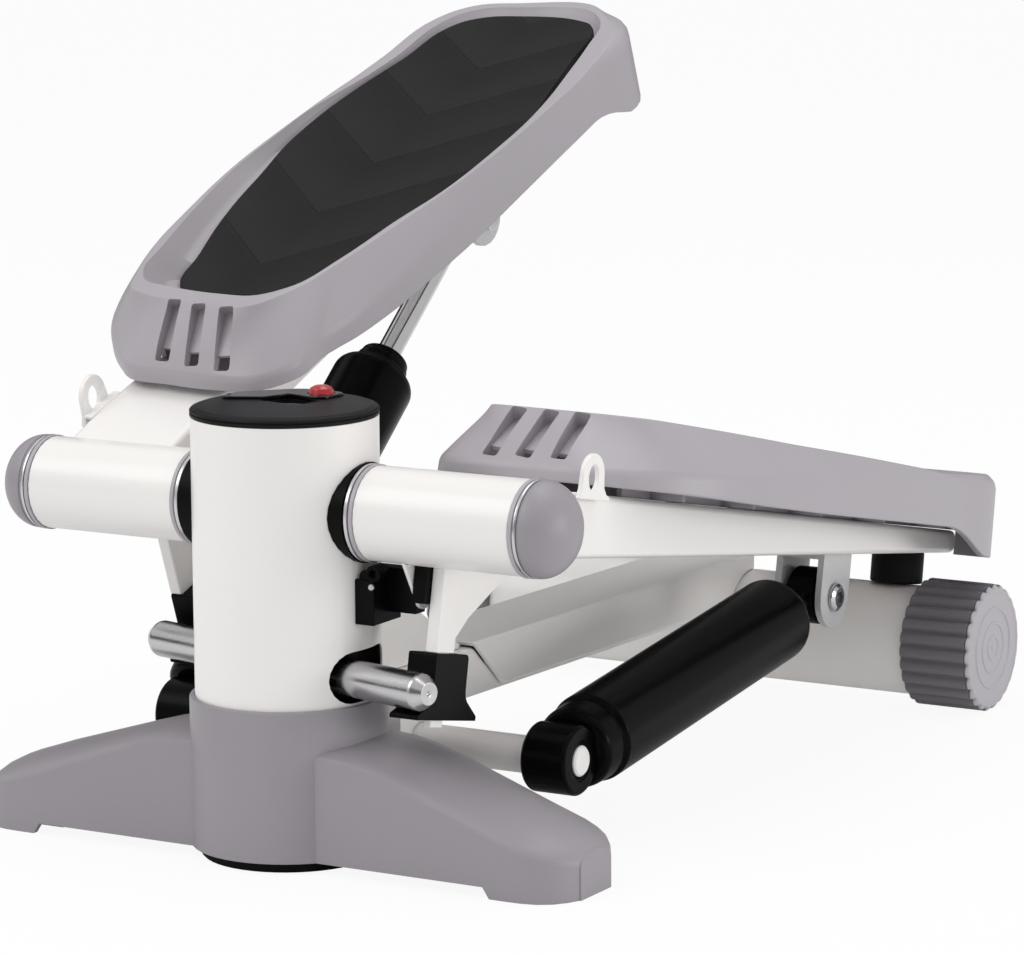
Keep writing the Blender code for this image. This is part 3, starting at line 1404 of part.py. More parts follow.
def make_hook(side, arm):
    """The eye for an exercise band: an ear that stands on a foot welded to the arm's top."""
    inner = HOOK_X - HOOK_THICKNESS / 2
    outer = HOOK_X + HOOK_THICKNESS / 2
    bottom = ARM_TOP + SEAT
    top = HOOK_W + HOOK_RIM
    bend = HOOK_RIM * 0.98
    ear = plate(
        side_name("band_hook", side),
        fillet(
            [
                (HOOK_V - HOOK_RIM - HOOK_FLARE, bottom),
                (HOOK_V + HOOK_RIM, bottom),
                (HOOK_V + HOOK_RIM, top, bend),
                (HOOK_V - HOOK_RIM, top, bend),
            ]
        ),
        side * inner,
        side * outer,
        WHITE_PAINT,
        arm,
    )
    foot = box(
        side_name("hook_foot", side),
        (side * HOOK_FOOT_X, HOOK_V - HOOK_RIM - HOOK_FLARE, bottom),
        (side * HOOK_X, HOOK_V + HOOK_RIM, bottom + HOOK_THICKNESS),
        None,
        arm,
    )
    hole = cylinder(
        side_name("hook_hole", side),
        HOOK_HOLE,
        (side * (HOOK_X - 3 * HOOK_THICKNESS), HOOK_V, HOOK_W),
        (side * (HOOK_X + 3 * HOOK_THICKNESS), HOOK_V, HOOK_W),
        None,
        arm,
        24,
    )
    join(ear, foot)
    cut(ear, hole)


def make_clevis(side, arm):
    """The fork under the arm that takes the top of the damper, with its bolt."""
    r = CLEVIS_RADIUS
    inner_ear = 2 * DAMPER_X - CLEVIS_OUTER
    top = arm_bottom(CLEVIS_V - r) - SEAT
    fork = plate(
        side_name("damper_fork", side),
        fillet(
            [
                (CLEVIS_V - r, arm_bottom(CLEVIS_V - r) - SEAT),
                (CLEVIS_V - r, CLEVIS_W - r, r * 0.98),
                (CLEVIS_V + r, CLEVIS_W - r, r * 0.98),
                (CLEVIS_V + r, arm_bottom(CLEVIS_V + r) - SEAT),
            ]
        ),
        side * inner_ear,
        side * CLEVIS_OUTER,
        WHITE_PAINT,
        arm,
    )
    gap = box(
        side_name("fork_gap", side),
        (side * (inner_ear + CLEVIS_THICKNESS), CLEVIS_V - 2 * r, CLEVIS_W - 2 * r),
        (side * (CLEVIS_OUTER - CLEVIS_THICKNESS), CLEVIS_V + 2 * r, top - CLEVIS_THICKNESS),
        None,
        arm,
    )
    holes = cylinder(
        side_name("bolt_holes", side),
        BOLT_RADIUS + SEAT,
        (side * (inner_ear - 10 * MM), CLEVIS_V, CLEVIS_W),
        (side * (CLEVIS_OUTER + 10 * MM), CLEVIS_V, CLEVIS_W),
        None,
        arm,
        24,
    )
    cut(fork, gap, holes)
    head = CLEVIS_OUTER + SEAT
    nut = inner_ear - SEAT
    bolt = turned(
        side_name("fork_bolt", side),
        (
            (0.0, head + BOLT_HEAD),
            (BOLT_HEAD_RADIUS - 0.8 * MM, head + BOLT_HEAD),
            (BOLT_HEAD_RADIUS, head + BOLT_HEAD - 0.8 * MM),
            (BOLT_HEAD_RADIUS, head),
            (BOLT_RADIUS, head),
            (BOLT_RADIUS, nut),
            (BOLT_HEAD_RADIUS, nut),
            (BOLT_HEAD_RADIUS, nut - 1.6 * BOLT_HEAD),
            (0.0, nut - 1.6 * BOLT_HEAD),
        ),
        CHROME,
        arm,
        "X",
        side,
        16,
    )
    bolt.location = (0, CLEVIS_V, CLEVIS_W)


def make_bumper(side, arm):
    """The rubber stop that lands on the rear tube, square to the arm's underside."""
    tilt = math.atan(ARM_BOTTOM_SLOPE)
    tube_reach = math.hypot(REAR_Y, PIVOT_HEIGHT - REAR_Z)
    tube_angle = math.atan2(REAR_Z - PIVOT_HEIGHT, REAR_Y) - ARM_DOWN
    tube_y = tube_reach * math.cos(tube_angle)
    tube_centre = Vector((side * BUMPER_X, tube_y, tube_reach * math.sin(tube_angle)))
    up = Vector((0, -math.sin(tilt), math.cos(tilt)))
    start = tube_centre + up * (REAR_TUBE_RADIUS + SEAT)
    end = start + up * BUMPER_HEIGHT
    cylinder(side_name("bumper", side), BUMPER_RADIUS, start, end, BLACK_RUBBER, arm, 32)


def make_trigger(arm, tube_form):
    """The tab and magnet that pass the step counter, on the right arm only."""
    tab = plate(
        "sensor_tab",
        fillet(
            [
                (-5.3 * MM, -10.0 * MM),
                (-5.3 * MM, -18.8 * MM),
                (9.5 * MM, -35.5 * MM, 3 * MM),
                (16.5 * MM, -37.5 * MM, 4 * MM),
                (17.0 * MM, -13.5 * MM),
            ]
        ),
        TAB_X,
        TAB_X + TAB_THICKNESS,
        WHITE_PAINT,
        arm,
    )
    cut(tab, tube_form)
    holder = box(
        "magnet_holder",
        (TAB_X + TAB_THICKNESS + SEAT, 2.0 * MM, -34.0 * MM),
        (LEG_OUTER - LEVER_WIDTH - SEAT, 14.0 * MM, -15.0 * MM),
        BLACK_PLASTIC,
        arm,
    )
    cut(holder, tube_form)


def along_pedal(v):
    """A drawn distance from the pivot in metres, stretched so that the heel stays with the arm's end."""
    return v * ARM_END / (OUTLINE_END * MM)


def outline_points(arcs):
    """An outline's arcs as one smooth closed curve, with the same count of points on each arc."""
    knots = [np.array((s * MM, along_pedal(v * MM))) for arc in arcs for s, v in arc]
    count = len(knots)
    spans = [np.linalg.norm(knots[(i + 1) % count] - knots[i]) for i in range(count)]
    slopes = []
    for i in range(count):
        before = (knots[i] - knots[i - 1]) / spans[i - 1]
        after = (knots[(i + 1) % count] - knots[i]) / spans[i]
        slopes.append((before * spans[i] + after * spans[i - 1]) / (spans[i] + spans[i - 1]))
    points = []
    first = 0
    for arc, pieces in zip(arcs, ARC_COUNTS):
        dense = []
        for i in range(first, first + len(arc)):
            j = (i + 1) % count
            for t in np.linspace(0.0, 1.0, 12, endpoint=False):
                h = 3 * t**2 - 2 * t**3
                run = spans[i]
                dense.append(
                    knots[i] * (1 - h)
                    + knots[j] * h
                    + slopes[i] * run * (t - 2 * t**2 + t**3)
                    + slopes[j] * run * (t**3 - t**2)
                )
        first += len(arc)
        dense.append(knots[first % count])
        dense = np.array(dense)
        along = np.concatenate([[0.0], np.cumsum(np.linalg.norm(np.diff(dense, axis=0), axis=1))])
        for distance in np.linspace(0.0, along[-1], pieces, endpoint=False):
            points.append([np.interp(distance, along, dense[:, k]) for k in (0, 1)])
    return np.array(points)


def drawn_in(points, margin):
    """The outline moved inwards by a margin, or outwards by a negative one."""
    ahead = np.roll(points, -1, axis=0) - points
    behind = points - np.roll(points, 1, axis=0)
    ahead /= np.linalg.norm(ahead, axis=1)[:, None]
    behind /= np.linalg.norm(behind, axis=1)[:, None]
    normal = np.stack([-(ahead + behind)[:, 1], (ahead + behind)[:, 0]], axis=1)
    normal /= np.linalg.norm(normal, axis=1)[:, None]
    middle = points.mean(axis=0)
    inwards = np.sign(((middle - points) * normal).sum())
    return points + normal * inwards * margin


def height_along(table, points):
    stations = [along_pedal(v * MM) for v, _ in table]
    heights = [height * MM for _, height in table]
    return np.interp(points[:, 1], stations, heights)


def rim_height(points):
    """The rim is higher along its inner side, and the two sides meet in the toe and the heel."""
    outward = np.interp(points[:, 0], (-RIM_BLEND, RIM_BLEND), (0.0, 1.0))
    inner = height_along(RIM_HEIGHTS_INNER, points)
    outer = height_along(RIM_HEIGHTS_OUTER, points)
    return inner * (1 - outward) + outer * outward


def pedal_centre(side):
    """The middle of a pedal's shell: the right one sits a little further in on its arm."""
    return PEDAL_CENTRE - RIGHT_PEDAL_INSET if side > 0 else PEDAL_CENTRE


def pedal_ring(side, points, heights):
    return [(side * (pedal_centre(side) + s), v, w) for (s, v), w in zip(points, heights)]


def mat_height(v, below):
    return MAT_TOP_AT_PIVOT + MAT_TOP_SLOPE * v - below


def make_toe_slots(side, arm):
    """Cutters for the round-ended slots, square to the slope of the toe."""
    cutters = []
    for index, ends in enumerate(TOE_SLOTS):
        top, bottom = [Vector((side * (PEDAL_CENTRE + s * MM), v * MM, w * MM)) for s, v, w in ends]
        run = (top - bottom).normalized()
        across = Vector((1, 0, 0)) - run * run.x
        across.normalize()
        depth = run.cross(across).normalized() * SLOT_CUT
        reach = SLOT_WIDTH / 2
        corners = []
        for centre, sign in ((bottom + run * reach, -1), (top - run * reach, 1)):
            for k in range(7):
                angle = math.pi * k / 6
                corners.append(centre + (run * math.sin(angle) - across * math.cos(angle)) * sign * reach)
        cutters.append(
            loft(
                side_name("toe_slot_" + str(index), side),
                [[tuple(corner + depth) for corner in corners], [tuple(corner - depth) for corner in corners]],
                None,
                arm,
            )
        )
    return cutters


def make_pedal_ribs(side, arm):
    """The webs under the pedal's deck, which rest on the arm."""
    middle = pedal_centre(side)
    bottom = ARM_TOP + SEAT
    half = ARM_WIDTH / 2
    wall = PEDAL_RIB_WALL / 2
    start = along_pedal(PEDAL_RIB_START * MM)
    end = along_pedal(PEDAL_RIB_END * MM)
    sink = MAT_SEAT + 0.7 * PEDAL_WALL
    ribs = []
    for index, offset in enumerate((-0.85 * half, 0.85 * half)):
        ribs.append(
            plate(
                side_name("rib_long_" + str(index), side),
                [
                    (start, bottom), (end, bottom),
                    (end, mat_height(end, sink)), (start, mat_height(start, sink)),
                ],
                side * (middle + offset) - wall,
                side * (middle + offset) + wall,
                None,
                arm,
            )
        )
    for index in range(CROSS_RIBS):
        v = along_pedal((CROSS_RIB_START + CROSS_RIB_PITCH * index) * MM)
        ribs.append(
            box(
                side_name("rib_cross_" + str(index), side),
                (side * (middle - 1.5 * half), v - wall, bottom),
                (side * (middle + 1.5 * half), v + wall, mat_height(v, sink)),
                None,
                arm,
            )
        )
    return ribs


def make_pedal(side, arm):
    skirt = outline_points(SKIRT_OUTLINE)
    rim = outline_points(RIM_OUTLINE)
    recess = outline_points(RECESS_OUTLINE)
    mat = outline_points(MAT_OUTLINE)
    floor_edge = drawn_in(mat, -0.8 * MM)
    skirt_low = height_along(SKIRT_HEIGHTS, skirt)
    crease = height_along(CREASE_HEIGHTS, skirt)
    rim_top = rim_height(rim)
    recess_top = rim_height(recess)
    skirt_inner = drawn_in(skirt, PEDAL_WALL)
    ridge = (rim + recess) / 2
    ridge_low = rim_height(ridge) - 5.0 * MM
    under_edge = drawn_in(mat, -3.2 * MM)
    rings = [
        (under_edge, mat_height(under_edge[:, 1], MAT_SEAT + PEDAL_WALL)),
        (ridge, np.maximum(ridge_low, crease - 1.2 * MM)),
        (skirt_inner, crease - 1.6 * MM),
        (skirt_inner, skirt_low),
        (skirt, skirt_low),
        (drawn_in(skirt, 0.2 * MM), crease - 0.8 * MM),
        (drawn_in(skirt, 0.8 * MM), crease + 0.4 * MM),
        (rim * 0.93 + skirt * 0.07, rim_top * 0.93 + crease * 0.07),
        (rim * 0.98 + recess * 0.02, rim_top),
        (recess * 0.98 + rim * 0.02, recess_top),
        (recess * 0.95 + floor_edge * 0.05, recess_top - 0.6 * MM),
        (floor_edge, mat_height(floor_edge[:, 1], MAT_SEAT)),
    ]
    shell = loft(
        side_name("pedal_shell", side),
        [pedal_ring(side, points, heights) for points, heights in rings],
        GREY_PLASTIC,
        arm,
    )
    join(shell, *make_pedal_ribs(side, arm))
    notch = box(
        side_name("arm_notch", side),
        (side * (ARM_INNER - SEAT), ARM_END - 20 * MM, -20 * MM),
        (side * (ARM_OUTER + SEAT), ARM_END + 20 * MM, ARM_TOP + SEAT),
        None,
        arm,
    )
    cut(shell, notch, *make_toe_slots(side, arm))

    edge = drawn_in(mat, 0.9 * MM)
    loft(
        side_name("pedal_mat", side),
        [
            pedal_ring(side, mat, mat_height(mat[:, 1], MAT_THICKNESS)),
            pedal_ring(side, mat, mat_height(mat[:, 1], 0.8 * MM)),
            pedal_ring(side, edge, mat_height(edge[:, 1], 0.0)),
        ],
        MAT_RUBBER,
        arm,
    )


def make_damper(side, angle):
    """An oil damper between the bar and the arm: a cylinder that swings and a rod that slides in it."""
    y, z = fork_pin(angle)
    rise = math.atan2(z - DAMPER_FOOT_Z, y - DAMPER_FOOT_Y)
    length = damper_span(angle)
    foot = frame(
        side_name("damper_frame", side), (side * DAMPER_X, DAMPER_FOOT_Y, DAMPER_FOOT_Z), rise - math.pi / 2
    )
    body_end = DAMPER_SHOULDER + DAMPER_LENGTH
    neck_end = body_end + DAMPER_NECK
    half = EYE_WIDTH / 2
    body = turned(
        side_name("damper_cylinder", side),
        (
            (0.0, neck_end),
            (DAMPER_NECK_RADIUS - 0.8 * MM, neck_end),
            (DAMPER_NECK_RADIUS, neck_end - 0.8 * MM),
            (DAMPER_NECK_RADIUS, body_end),
            (DAMPER_RADIUS - 2.0 * MM, body_end),
            (DAMPER_RADIUS, body_end - 2.0 * MM),
            (DAMPER_RADIUS, DAMPER_SHOULDER + 1.5 * MM),
            (DAMPER_RADIUS - 1.5 * MM, DAMPER_SHOULDER),
            (EYE_RADIUS * 0.9, DAMPER_SHOULDER - 3.0 * MM),
            (EYE_RADIUS * 0.7, 0.5 * EYE_RADIUS),
            (0.0, 0.5 * EYE_RADIUS),
        ),
        BLACK_PLASTIC,
        foot,
    )
    eye = cylinder(side_name("foot_eye", side), EYE_RADIUS, (-half, 0, 0), (half, 0, 0), None, foot, 28)
    stud_bore = cylinder(
        side_name("stud_bore", side), STUD_RADIUS + RUNNING,
        (-2 * half, 0, 0), (2 * half, 0, 0), None, foot, 20
    )
    chamber_low = DAMPER_SHOULDER + DAMPER_END
    chamber_high = body_end - DAMPER_END
    chamber = turned(
        side_name("oil_chamber", side),
        (
            (0.0, neck_end + 10 * MM),
            (PISTON_RADIUS + RUNNING, neck_end + 10 * MM),
            (PISTON_RADIUS + RUNNING, chamber_high),
            (DAMPER_RADIUS - DAMPER_WALL, chamber_high),
            (DAMPER_RADIUS - DAMPER_WALL, chamber_low),
            (0.0, chamber_low),
        ),
        None,
        foot,
    )
    join(body, eye)
    cut(body, stud_bore, chamber)

    head_low = length - TOP_EYE_RADIUS - PISTON_LENGTH
    rod = turned(
        side_name("damper_rod", side),
        (
            (0.0, length - TOP_EYE_RADIUS * 0.7),
            (PISTON_RADIUS, length - TOP_EYE_RADIUS * 0.7),
            (PISTON_RADIUS, head_low + PISTON_HEAD),
            (DAMPER_RADIUS - DAMPER_WALL - RUNNING, head_low + PISTON_HEAD),
            (DAMPER_RADIUS - DAMPER_WALL - RUNNING, head_low),
            (0.0, head_low),
        ),
        CHROME,
        foot,
        sides=20,
    )
    top_half = TOP_EYE_WIDTH / 2
    top_eye = cylinder(
        side_name("top_eye", side), TOP_EYE_RADIUS,
        (-top_half, 0, length), (top_half, 0, length), None, foot, 24
    )
    top_bore = cylinder(
        side_name("top_bore", side),
        BOLT_RADIUS + TOP_EYE_CLEARANCE,
        (-2 * top_half, 0, length),
        (2 * top_half, 0, length),
        None,
        foot,
        20,
    )
    join(rod, top_eye)
    cut(rod, top_bore)



def make_arm(side, angle):
    arm = frame(side_name("arm_frame", side), (0, 0, PIVOT_HEIGHT), angle)
    tube_form = cylinder(
        side_name("tube_form", side),
        TUBE_RADIUS + SEAT,
        (side * COLUMN_RADIUS, 0, 0),
        (side * (ARM_OUTER + 20 * MM), 0, 0),
        None,
        arm,
    )
    make_pivot_sleeve(side, arm)
    make_arm_beam(side, arm, tube_form)
    make_lever(side, arm, tube_form)
    make_hook(side, arm)
    make_clevis(side, arm)
    make_bumper(side, arm)
    make_pedal(side, arm)
    if side > 0:
        make_trigger(arm, tube_form)


def main():
    make_base()
    make_column()
    make_display()
    column_form = make_pivot()
    make_spine(column_form)
    make_rear()
    make_counter(column_form)
    make_rocker()
    for side, angle in ((1, ARM_DOWN), (-1, ARM_UP)):
        make_arm(side, angle)
        make_damper(side, angle)


main()
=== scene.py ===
import json
import math

import bmesh
import bpy
from mathutils import Matrix, Vector


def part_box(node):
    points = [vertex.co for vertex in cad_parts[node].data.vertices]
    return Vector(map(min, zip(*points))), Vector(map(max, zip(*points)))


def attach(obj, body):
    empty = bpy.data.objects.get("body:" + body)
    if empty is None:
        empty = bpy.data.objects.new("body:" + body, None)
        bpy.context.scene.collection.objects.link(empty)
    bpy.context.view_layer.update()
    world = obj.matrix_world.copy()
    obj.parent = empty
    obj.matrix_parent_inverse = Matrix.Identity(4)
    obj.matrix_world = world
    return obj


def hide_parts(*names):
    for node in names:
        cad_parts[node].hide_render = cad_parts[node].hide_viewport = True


MM = 0.001
UP = Vector((0, 0, 1))
PIVOT = Vector((0.0, 0.0, 0.1433))
RIGHT_ARM = math.radians(-11.5710)
LEFT_ARM = math.radians(19.5590)
SIDES = ((1, "right", RIGHT_ARM), (-1, "left", LEFT_ARM))

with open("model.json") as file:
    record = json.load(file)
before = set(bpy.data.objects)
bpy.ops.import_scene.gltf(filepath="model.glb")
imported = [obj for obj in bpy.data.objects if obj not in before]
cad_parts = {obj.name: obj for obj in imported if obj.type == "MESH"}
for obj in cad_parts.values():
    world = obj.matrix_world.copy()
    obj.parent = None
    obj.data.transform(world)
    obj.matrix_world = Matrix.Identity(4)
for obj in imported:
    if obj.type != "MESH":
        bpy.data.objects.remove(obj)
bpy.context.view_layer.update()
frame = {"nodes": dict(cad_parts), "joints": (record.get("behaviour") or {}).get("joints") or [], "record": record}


# Shader groups shared by the finishes

SURFACE = (("Color", "Color"), ("Roughness", "Float"), ("Height", "Float"))


def new_group(name, colors=(), floats=(), vectors=("Vector",), outputs=SURFACE):
    """An empty node group with named inputs and outputs, given with its input sockets and output node."""
    group = bpy.data.node_groups.new(name, "ShaderNodeTree")
    for kind, labels in (("Vector", vectors), ("Color", colors), ("Float", floats)):
        for label in labels:
            group.interface.new_socket(name=label, in_out="INPUT", socket_type="NodeSocket" + kind)
    for label, kind in outputs:
        group.interface.new_socket(name=label, in_out="OUTPUT", socket_type="NodeSocket" + kind)
    given = group.nodes.new("NodeGroupInput").outputs
    return group, given, group.nodes.new("NodeGroupOutput")


def add_node(tree, kind, **settings):
    """A shader node of a kind, with its own settings."""
    node = tree.nodes.new("ShaderNode" + kind)
    for label, value in settings.items():
        setattr(node, label, value)
    return node


def wire(tree, node, **values):
    """Joins each value to the node's input of that name, with an underscore for each space."""
    for label, value in values.items():
        tree.links.new(value, node.inputs[label.replace("_", " ")])


def preset(node, **values):
    """Sets the node's inputs by name, in the same way."""
    for label, value in values.items():
        node.inputs[label.replace("_", " ")].default_value = value


def math_node(tree, operation, first, second):
    node = add_node(tree, "Math", operation=operation)
    for socket, value in zip(node.inputs, (first, second)):
        if isinstance(value, (int, float)):
            socket.default_value = value
        else:
            tree.links.new(value, socket)
    return node.outputs[0]


def added(tree, first, second):
    return math_node(tree, "ADD", first, second)


def less(tree, first, second):
    return math_node(tree, "SUBTRACT", first, second)


def times(tree, first, second):
    return math_node(tree, "MULTIPLY", first, second)


def tinted(tree, color, value):
    """The colour made lighter or darker by the value."""
    tint = add_node(tree, "HueSaturation")
    wire(tree, tint, Color=color, Value=value)
    return tint.outputs["Color"]


def ranged(tree, value, low, high, **settings):
    """Where the value lies between two limits, from 0 to 1."""
    limits = add_node(tree, "MapRange", **settings)
    preset(limits, From_Min=low, From_Max=high)
    wire(tree, limits, Value=value)
    return limits.outputs["Result"]


def noise_node(tree, vector, scale, detail, roughness=0.5):
    """A noise texture on a vector, with its scale given as a number or a socket."""
    node = add_node(tree, "TexNoise")
    wire(tree, node, Vector=vector)
    if isinstance(scale, (int, float)):
        preset(node, Scale=scale)
    else:
        wire(tree, node, Scale=scale)
    preset(node, Detail=detail, Roughness=roughness)
    return node.outputs["Fac"]


def make_moulding_group():
    """Fine spark-eroded grain of a moulded plastic, with slow changes of tone and gloss."""
    group, given, leave = new_group(
        "moulded_surface", ("Color",), ("Grain Scale", "Tone Change", "Roughness", "Gloss Change"),
    )
    grain = noise_node(group, given["Vector"], given["Grain Scale"], 3.0, 0.6)
    cloud = noise_node(group, given["Vector"], 22.0, 3.0, 0.55)
    speck = noise_node(group, given["Vector"], 420.0, 2.0, 0.5)
    slow = less(group, cloud, 0.5)
    change = times(group, slow, given["Tone Change"])
    fine = times(group, less(group, speck, 0.5), given["Tone Change"])
    value = added(group, added(group, change, times(group, fine, 0.4)), 1.0)
    gloss = times(group, slow, given["Gloss Change"])
    rough = added(group, times(group, gloss, 2.0), given["Roughness"])
    wire(group, leave, Color=tinted(group, given["Color"], value), Roughness=rough, Height=grain)
    return group


def make_paint_group():
    """Powder coat: the slight orange peel of the cured film and a few faint rubbed marks."""
    group, given, leave = new_group("powder_coat", ("Color",), ("Roughness", "Rub"))
    peel = noise_node(group, given["Vector"], 320.0, 2.0, 0.4)
    cloud = noise_node(group, given["Vector"], 14.0, 4.0, 0.6)
    stretch = add_node(group, "Mapping")
    preset(stretch, Scale=(9.0, 9.0, 160.0))
    wire(group, stretch, Vector=given["Vector"])
    rubbed = noise_node(group, stretch.outputs["Vector"], 3.0, 5.0, 0.65)
    marked = times(group, ranged(group, rubbed, 0.55, 0.75), given["Rub"])
    rough = added(group, given["Roughness"], marked)
    value = added(group, times(group, less(group, cloud, 0.5), 0.03), 1.0)
    wire(group, leave, Color=tinted(group, given["Color"], value), Roughness=rough, Height=peel)
    return group


def make_metal_group():
    """Drawn or turned metal: fine lines along one way and a slow change of gloss."""
    group, given, leave = new_group(
        "worked_metal", ("Color",), ("Roughness", "Line Depth"), ("Vector", "Line Stretch"),
    )
    stretched = add_node(group, "VectorMath", operation="MULTIPLY")
    group.links.new(given["Vector"], stretched.inputs[0])
    group.links.new(given["Line Stretch"], stretched.inputs[1])
    lines = noise_node(group, stretched.outputs["Vector"], 900.0, 3.0, 0.6)
    cloud = noise_node(group, given["Vector"], 60.0, 3.0, 0.5)
    both = less(group, added(group, times(group, lines, 0.7), times(group, cloud, 0.3)), 0.5)
    rough = added(group, given["Roughness"], times(group, both, given["Line Depth"]))
    value = added(group, times(group, both, 0.25), 1.0)
    wire(group, leave, Color=tinted(group, given["Color"], value), Roughness=rough, Height=lines)
    return group


MOULDED = make_moulding_group()
PAINTED = make_paint_group()
WORKED = make_metal_group()


# Finishes

FINE_RELIEF = 0.0001
DEEP_RELIEF = 0.0002


def new_finish(name, group, color, bump, distance, values, **shader_values):
    """A material whose colour, gloss and relief come from one of the groups."""
    finish = bpy.data.materials.new(name)
    finish.use_nodes = True
    tree = finish.node_tree
    shader = tree.nodes["Principled BSDF"]
    preset(shader, **shader_values)
    place = add_node(tree, "TexCoord")
    surface = add_node(tree, "Group", node_tree=group)
    wire(tree, surface, Vector=place.outputs["Object"])
    preset(surface, Color=(*color, 1.0), **values)
    relief = add_node(tree, "Bump")
    preset(relief, Strength=bump, Distance=distance)
    wire(tree, relief, Height=surface.outputs["Height"])
    wire(
        tree, shader, Base_Color=surface.outputs["Color"], Roughness=surface.outputs["Roughness"],
        Normal=relief.outputs["Normal"],
    )
    finish.diffuse_color = (*color, 1.0)
    return finish


def moulded(
    name, color, bump=0.16, grain=1500.0, tone=0.05, rough=0.4, gloss=0.05, distance=FINE_RELIEF,
    **shader_values,
):
    """A plastic or rubber, by the scale of its grain, change of tone, roughness and change of gloss."""
    values = {"Grain Scale": grain, "Tone Change": tone, "Roughness": rough, "Gloss Change": gloss}
    return new_finish(name, MOULDED, color, bump, distance, values, **shader_values)


def painted(name, color, bump, rough, rub, **shader_values):
    """A powder coat, by its roughness and how far rubbed marks dull it."""
    return new_finish(
        name, PAINTED, color, bump, DEEP_RELIEF, {"Roughness": rough, "Rub": rub}, **shader_values
    )


def white_coat(name):
    return painted(
        name, (0.85, 0.828, 0.81), 0.05, rough=0.34, rub=0.08, Coat_Weight=0.25, Coat_Roughness=0.18,
    )


def metal(name, color, bump, stretch, rough, depth, metallic=1.0):
    """A metal, by the stretch of its fine lines, its roughness and the depth of the lines."""
    values = {"Line Stretch": stretch, "Roughness": rough, "Line Depth": depth}
    return new_finish(name, WORKED, color, bump, FINE_RELIEF, values, Metallic=metallic)


WHITE_PAINT = white_coat("white_powder_coat")
GREY_PLASTIC = moulded("grey_moulded_shell", (0.375, 0.352, 0.38))
BASE_PLASTIC = moulded("grey_moulded_base", (0.30, 0.28, 0.305), rough=0.42, Specular_IOR_Level=0.45)
PALE_PLASTIC = moulded("pale_moulded_cap", (0.41, 0.39, 0.42), 0.12, rough=0.38)
WHEEL_PLASTIC = moulded(
    "fluted_wheel_rim", (0.175, 0.166, 0.182), grain=1400.0, tone=0.1, rough=0.42, Specular_IOR_Level=0.4,
)
BLACK_PLASTIC = moulded(
    "black_moulded_block", (0.003, 0.003, 0.0032), 0.14, grain=1400.0, tone=0.3, rough=0.36, gloss=0.08,
    Specular_IOR_Level=0.07,
)
BLACK_SATIN = painted(
    "black_painted_damper", (0.0025, 0.0025, 0.0028), 0.04, rough=0.26, rub=0.03, Specular_IOR_Level=0.06,
)
CAP_PLASTIC = moulded(
    "display_satin_plastic", (0.012, 0.0118, 0.0125), 0.14, grain=1600.0, tone=0.12, rough=0.40,
    gloss=0.06, Specular_IOR_Level=0.08,
)
BLACK_GLOSS = moulded(
    "lens_gloss_plastic", (0.003, 0.003, 0.0035), 0.01, grain=300.0, tone=0.1, rough=0.08, gloss=0.03,
    Specular_IOR_Level=0.3,
)
BLACK_RUBBER = moulded(
    "black_rubber", (0.004, 0.004, 0.0044), 0.25, grain=700.0, tone=0.3, rough=0.60, gloss=0.1,
    distance=DEEP_RELIEF, Specular_IOR_Level=0.12,
)
RED_PLASTIC = moulded(
    "red_button_plastic", (0.42, 0.008, 0.016), 0.02, grain=900.0, tone=0.08, rough=0.14, gloss=0.04,
    Coat_Weight=0.2, Coat_Roughness=0.06,
)
CHROME = metal("chromed_rod", (0.60, 0.60, 0.61), 0.02, (1.0, 0.1, 0.1), rough=0.10, depth=0.05)
BRUSHED_ROD = metal(
    "brushed_push_rod", (0.56, 0.555, 0.565), 0.10, (0.06, 0.3, 1.0), rough=0.24, depth=0.3,
)
BOLT_CHROME = metal("bolt_plating", (0.55, 0.55, 0.56), 0.05, (1.0, 1.0, 1.0), rough=0.16, depth=0.1)
BRIGHT_BAND = metal(
    "bright_band", (0.62, 0.61, 0.63), 0.04, (1.0, 0.2, 0.2), rough=0.25, depth=0.15, metallic=0.8,
)
FORK_PLATING = metal(
    "fork_plating", (0.58, 0.58, 0.59), 0.06, (1.0, 0.3, 0.3), rough=0.38, depth=0.2, metallic=0.35,
)
STEEL = metal("zinc_plated_steel", (0.50, 0.50, 0.51), 0.08, (1.0, 0.2, 1.0), rough=0.28, depth=0.2)
GREEN_BOARD = moulded(
    "circuit_board", (0.02, 0.16, 0.07), 0.1, grain=500.0, tone=0.4, rough=0.3, gloss=0.1,
)
CELL = metal("cell_jacket", (0.35, 0.33, 0.30), 0.05, (0.1, 1.0, 1.0), rough=0.3, depth=0.2, metallic=0.7)


def parts_of(finish):
    """A finish's node tree, with its shader, its surface group and its coordinates."""
    tree = finish.node_tree
    surface = [node for node in tree.nodes if node.type == "GROUP"][0]
    place = [node for node in tree.nodes if node.type == "TEX_COORD"][0]
    return tree, tree.nodes["Principled BSDF"], surface, place


# Radius inside which the column's colour is painted near black as painted shade.
PAINTED_SHADE_RADIUS = 37.2 * MM


def make_column_paint_and_painted_shade():
    """The powder coat on the column's outside. The inside of the tube is painted near black, as painted shade in
    its hollow.
    """
    finish = white_coat("column_powder_coat_painted_inside_shade")
    tree, shader, surface, place = parts_of(finish)
    level = add_node(tree, "VectorMath", operation="MULTIPLY")
    level.inputs[1].default_value = (1.0, 1.0, 0.0)
    tree.links.new(place.outputs["Object"], level.inputs[0])
    reach = add_node(tree, "VectorMath", operation="LENGTH")
    tree.links.new(level.outputs["Vector"], reach.inputs[0])
    outside = math_node(tree, "GREATER_THAN", reach.outputs["Value"], PAINTED_SHADE_RADIUS)
    # Painted shade: inside the radius the colour is near black, standing for the shade in the tube's hollow.
    blend = add_node(tree, "Mix", data_type="RGBA")
    preset(blend, A=(0.006, 0.006, 0.0065, 1.0))
    wire(tree, blend, Factor=outside, B=surface.outputs["Color"])
    wire(tree, shader, Base_Color=blend.outputs["Result"])
    return finish


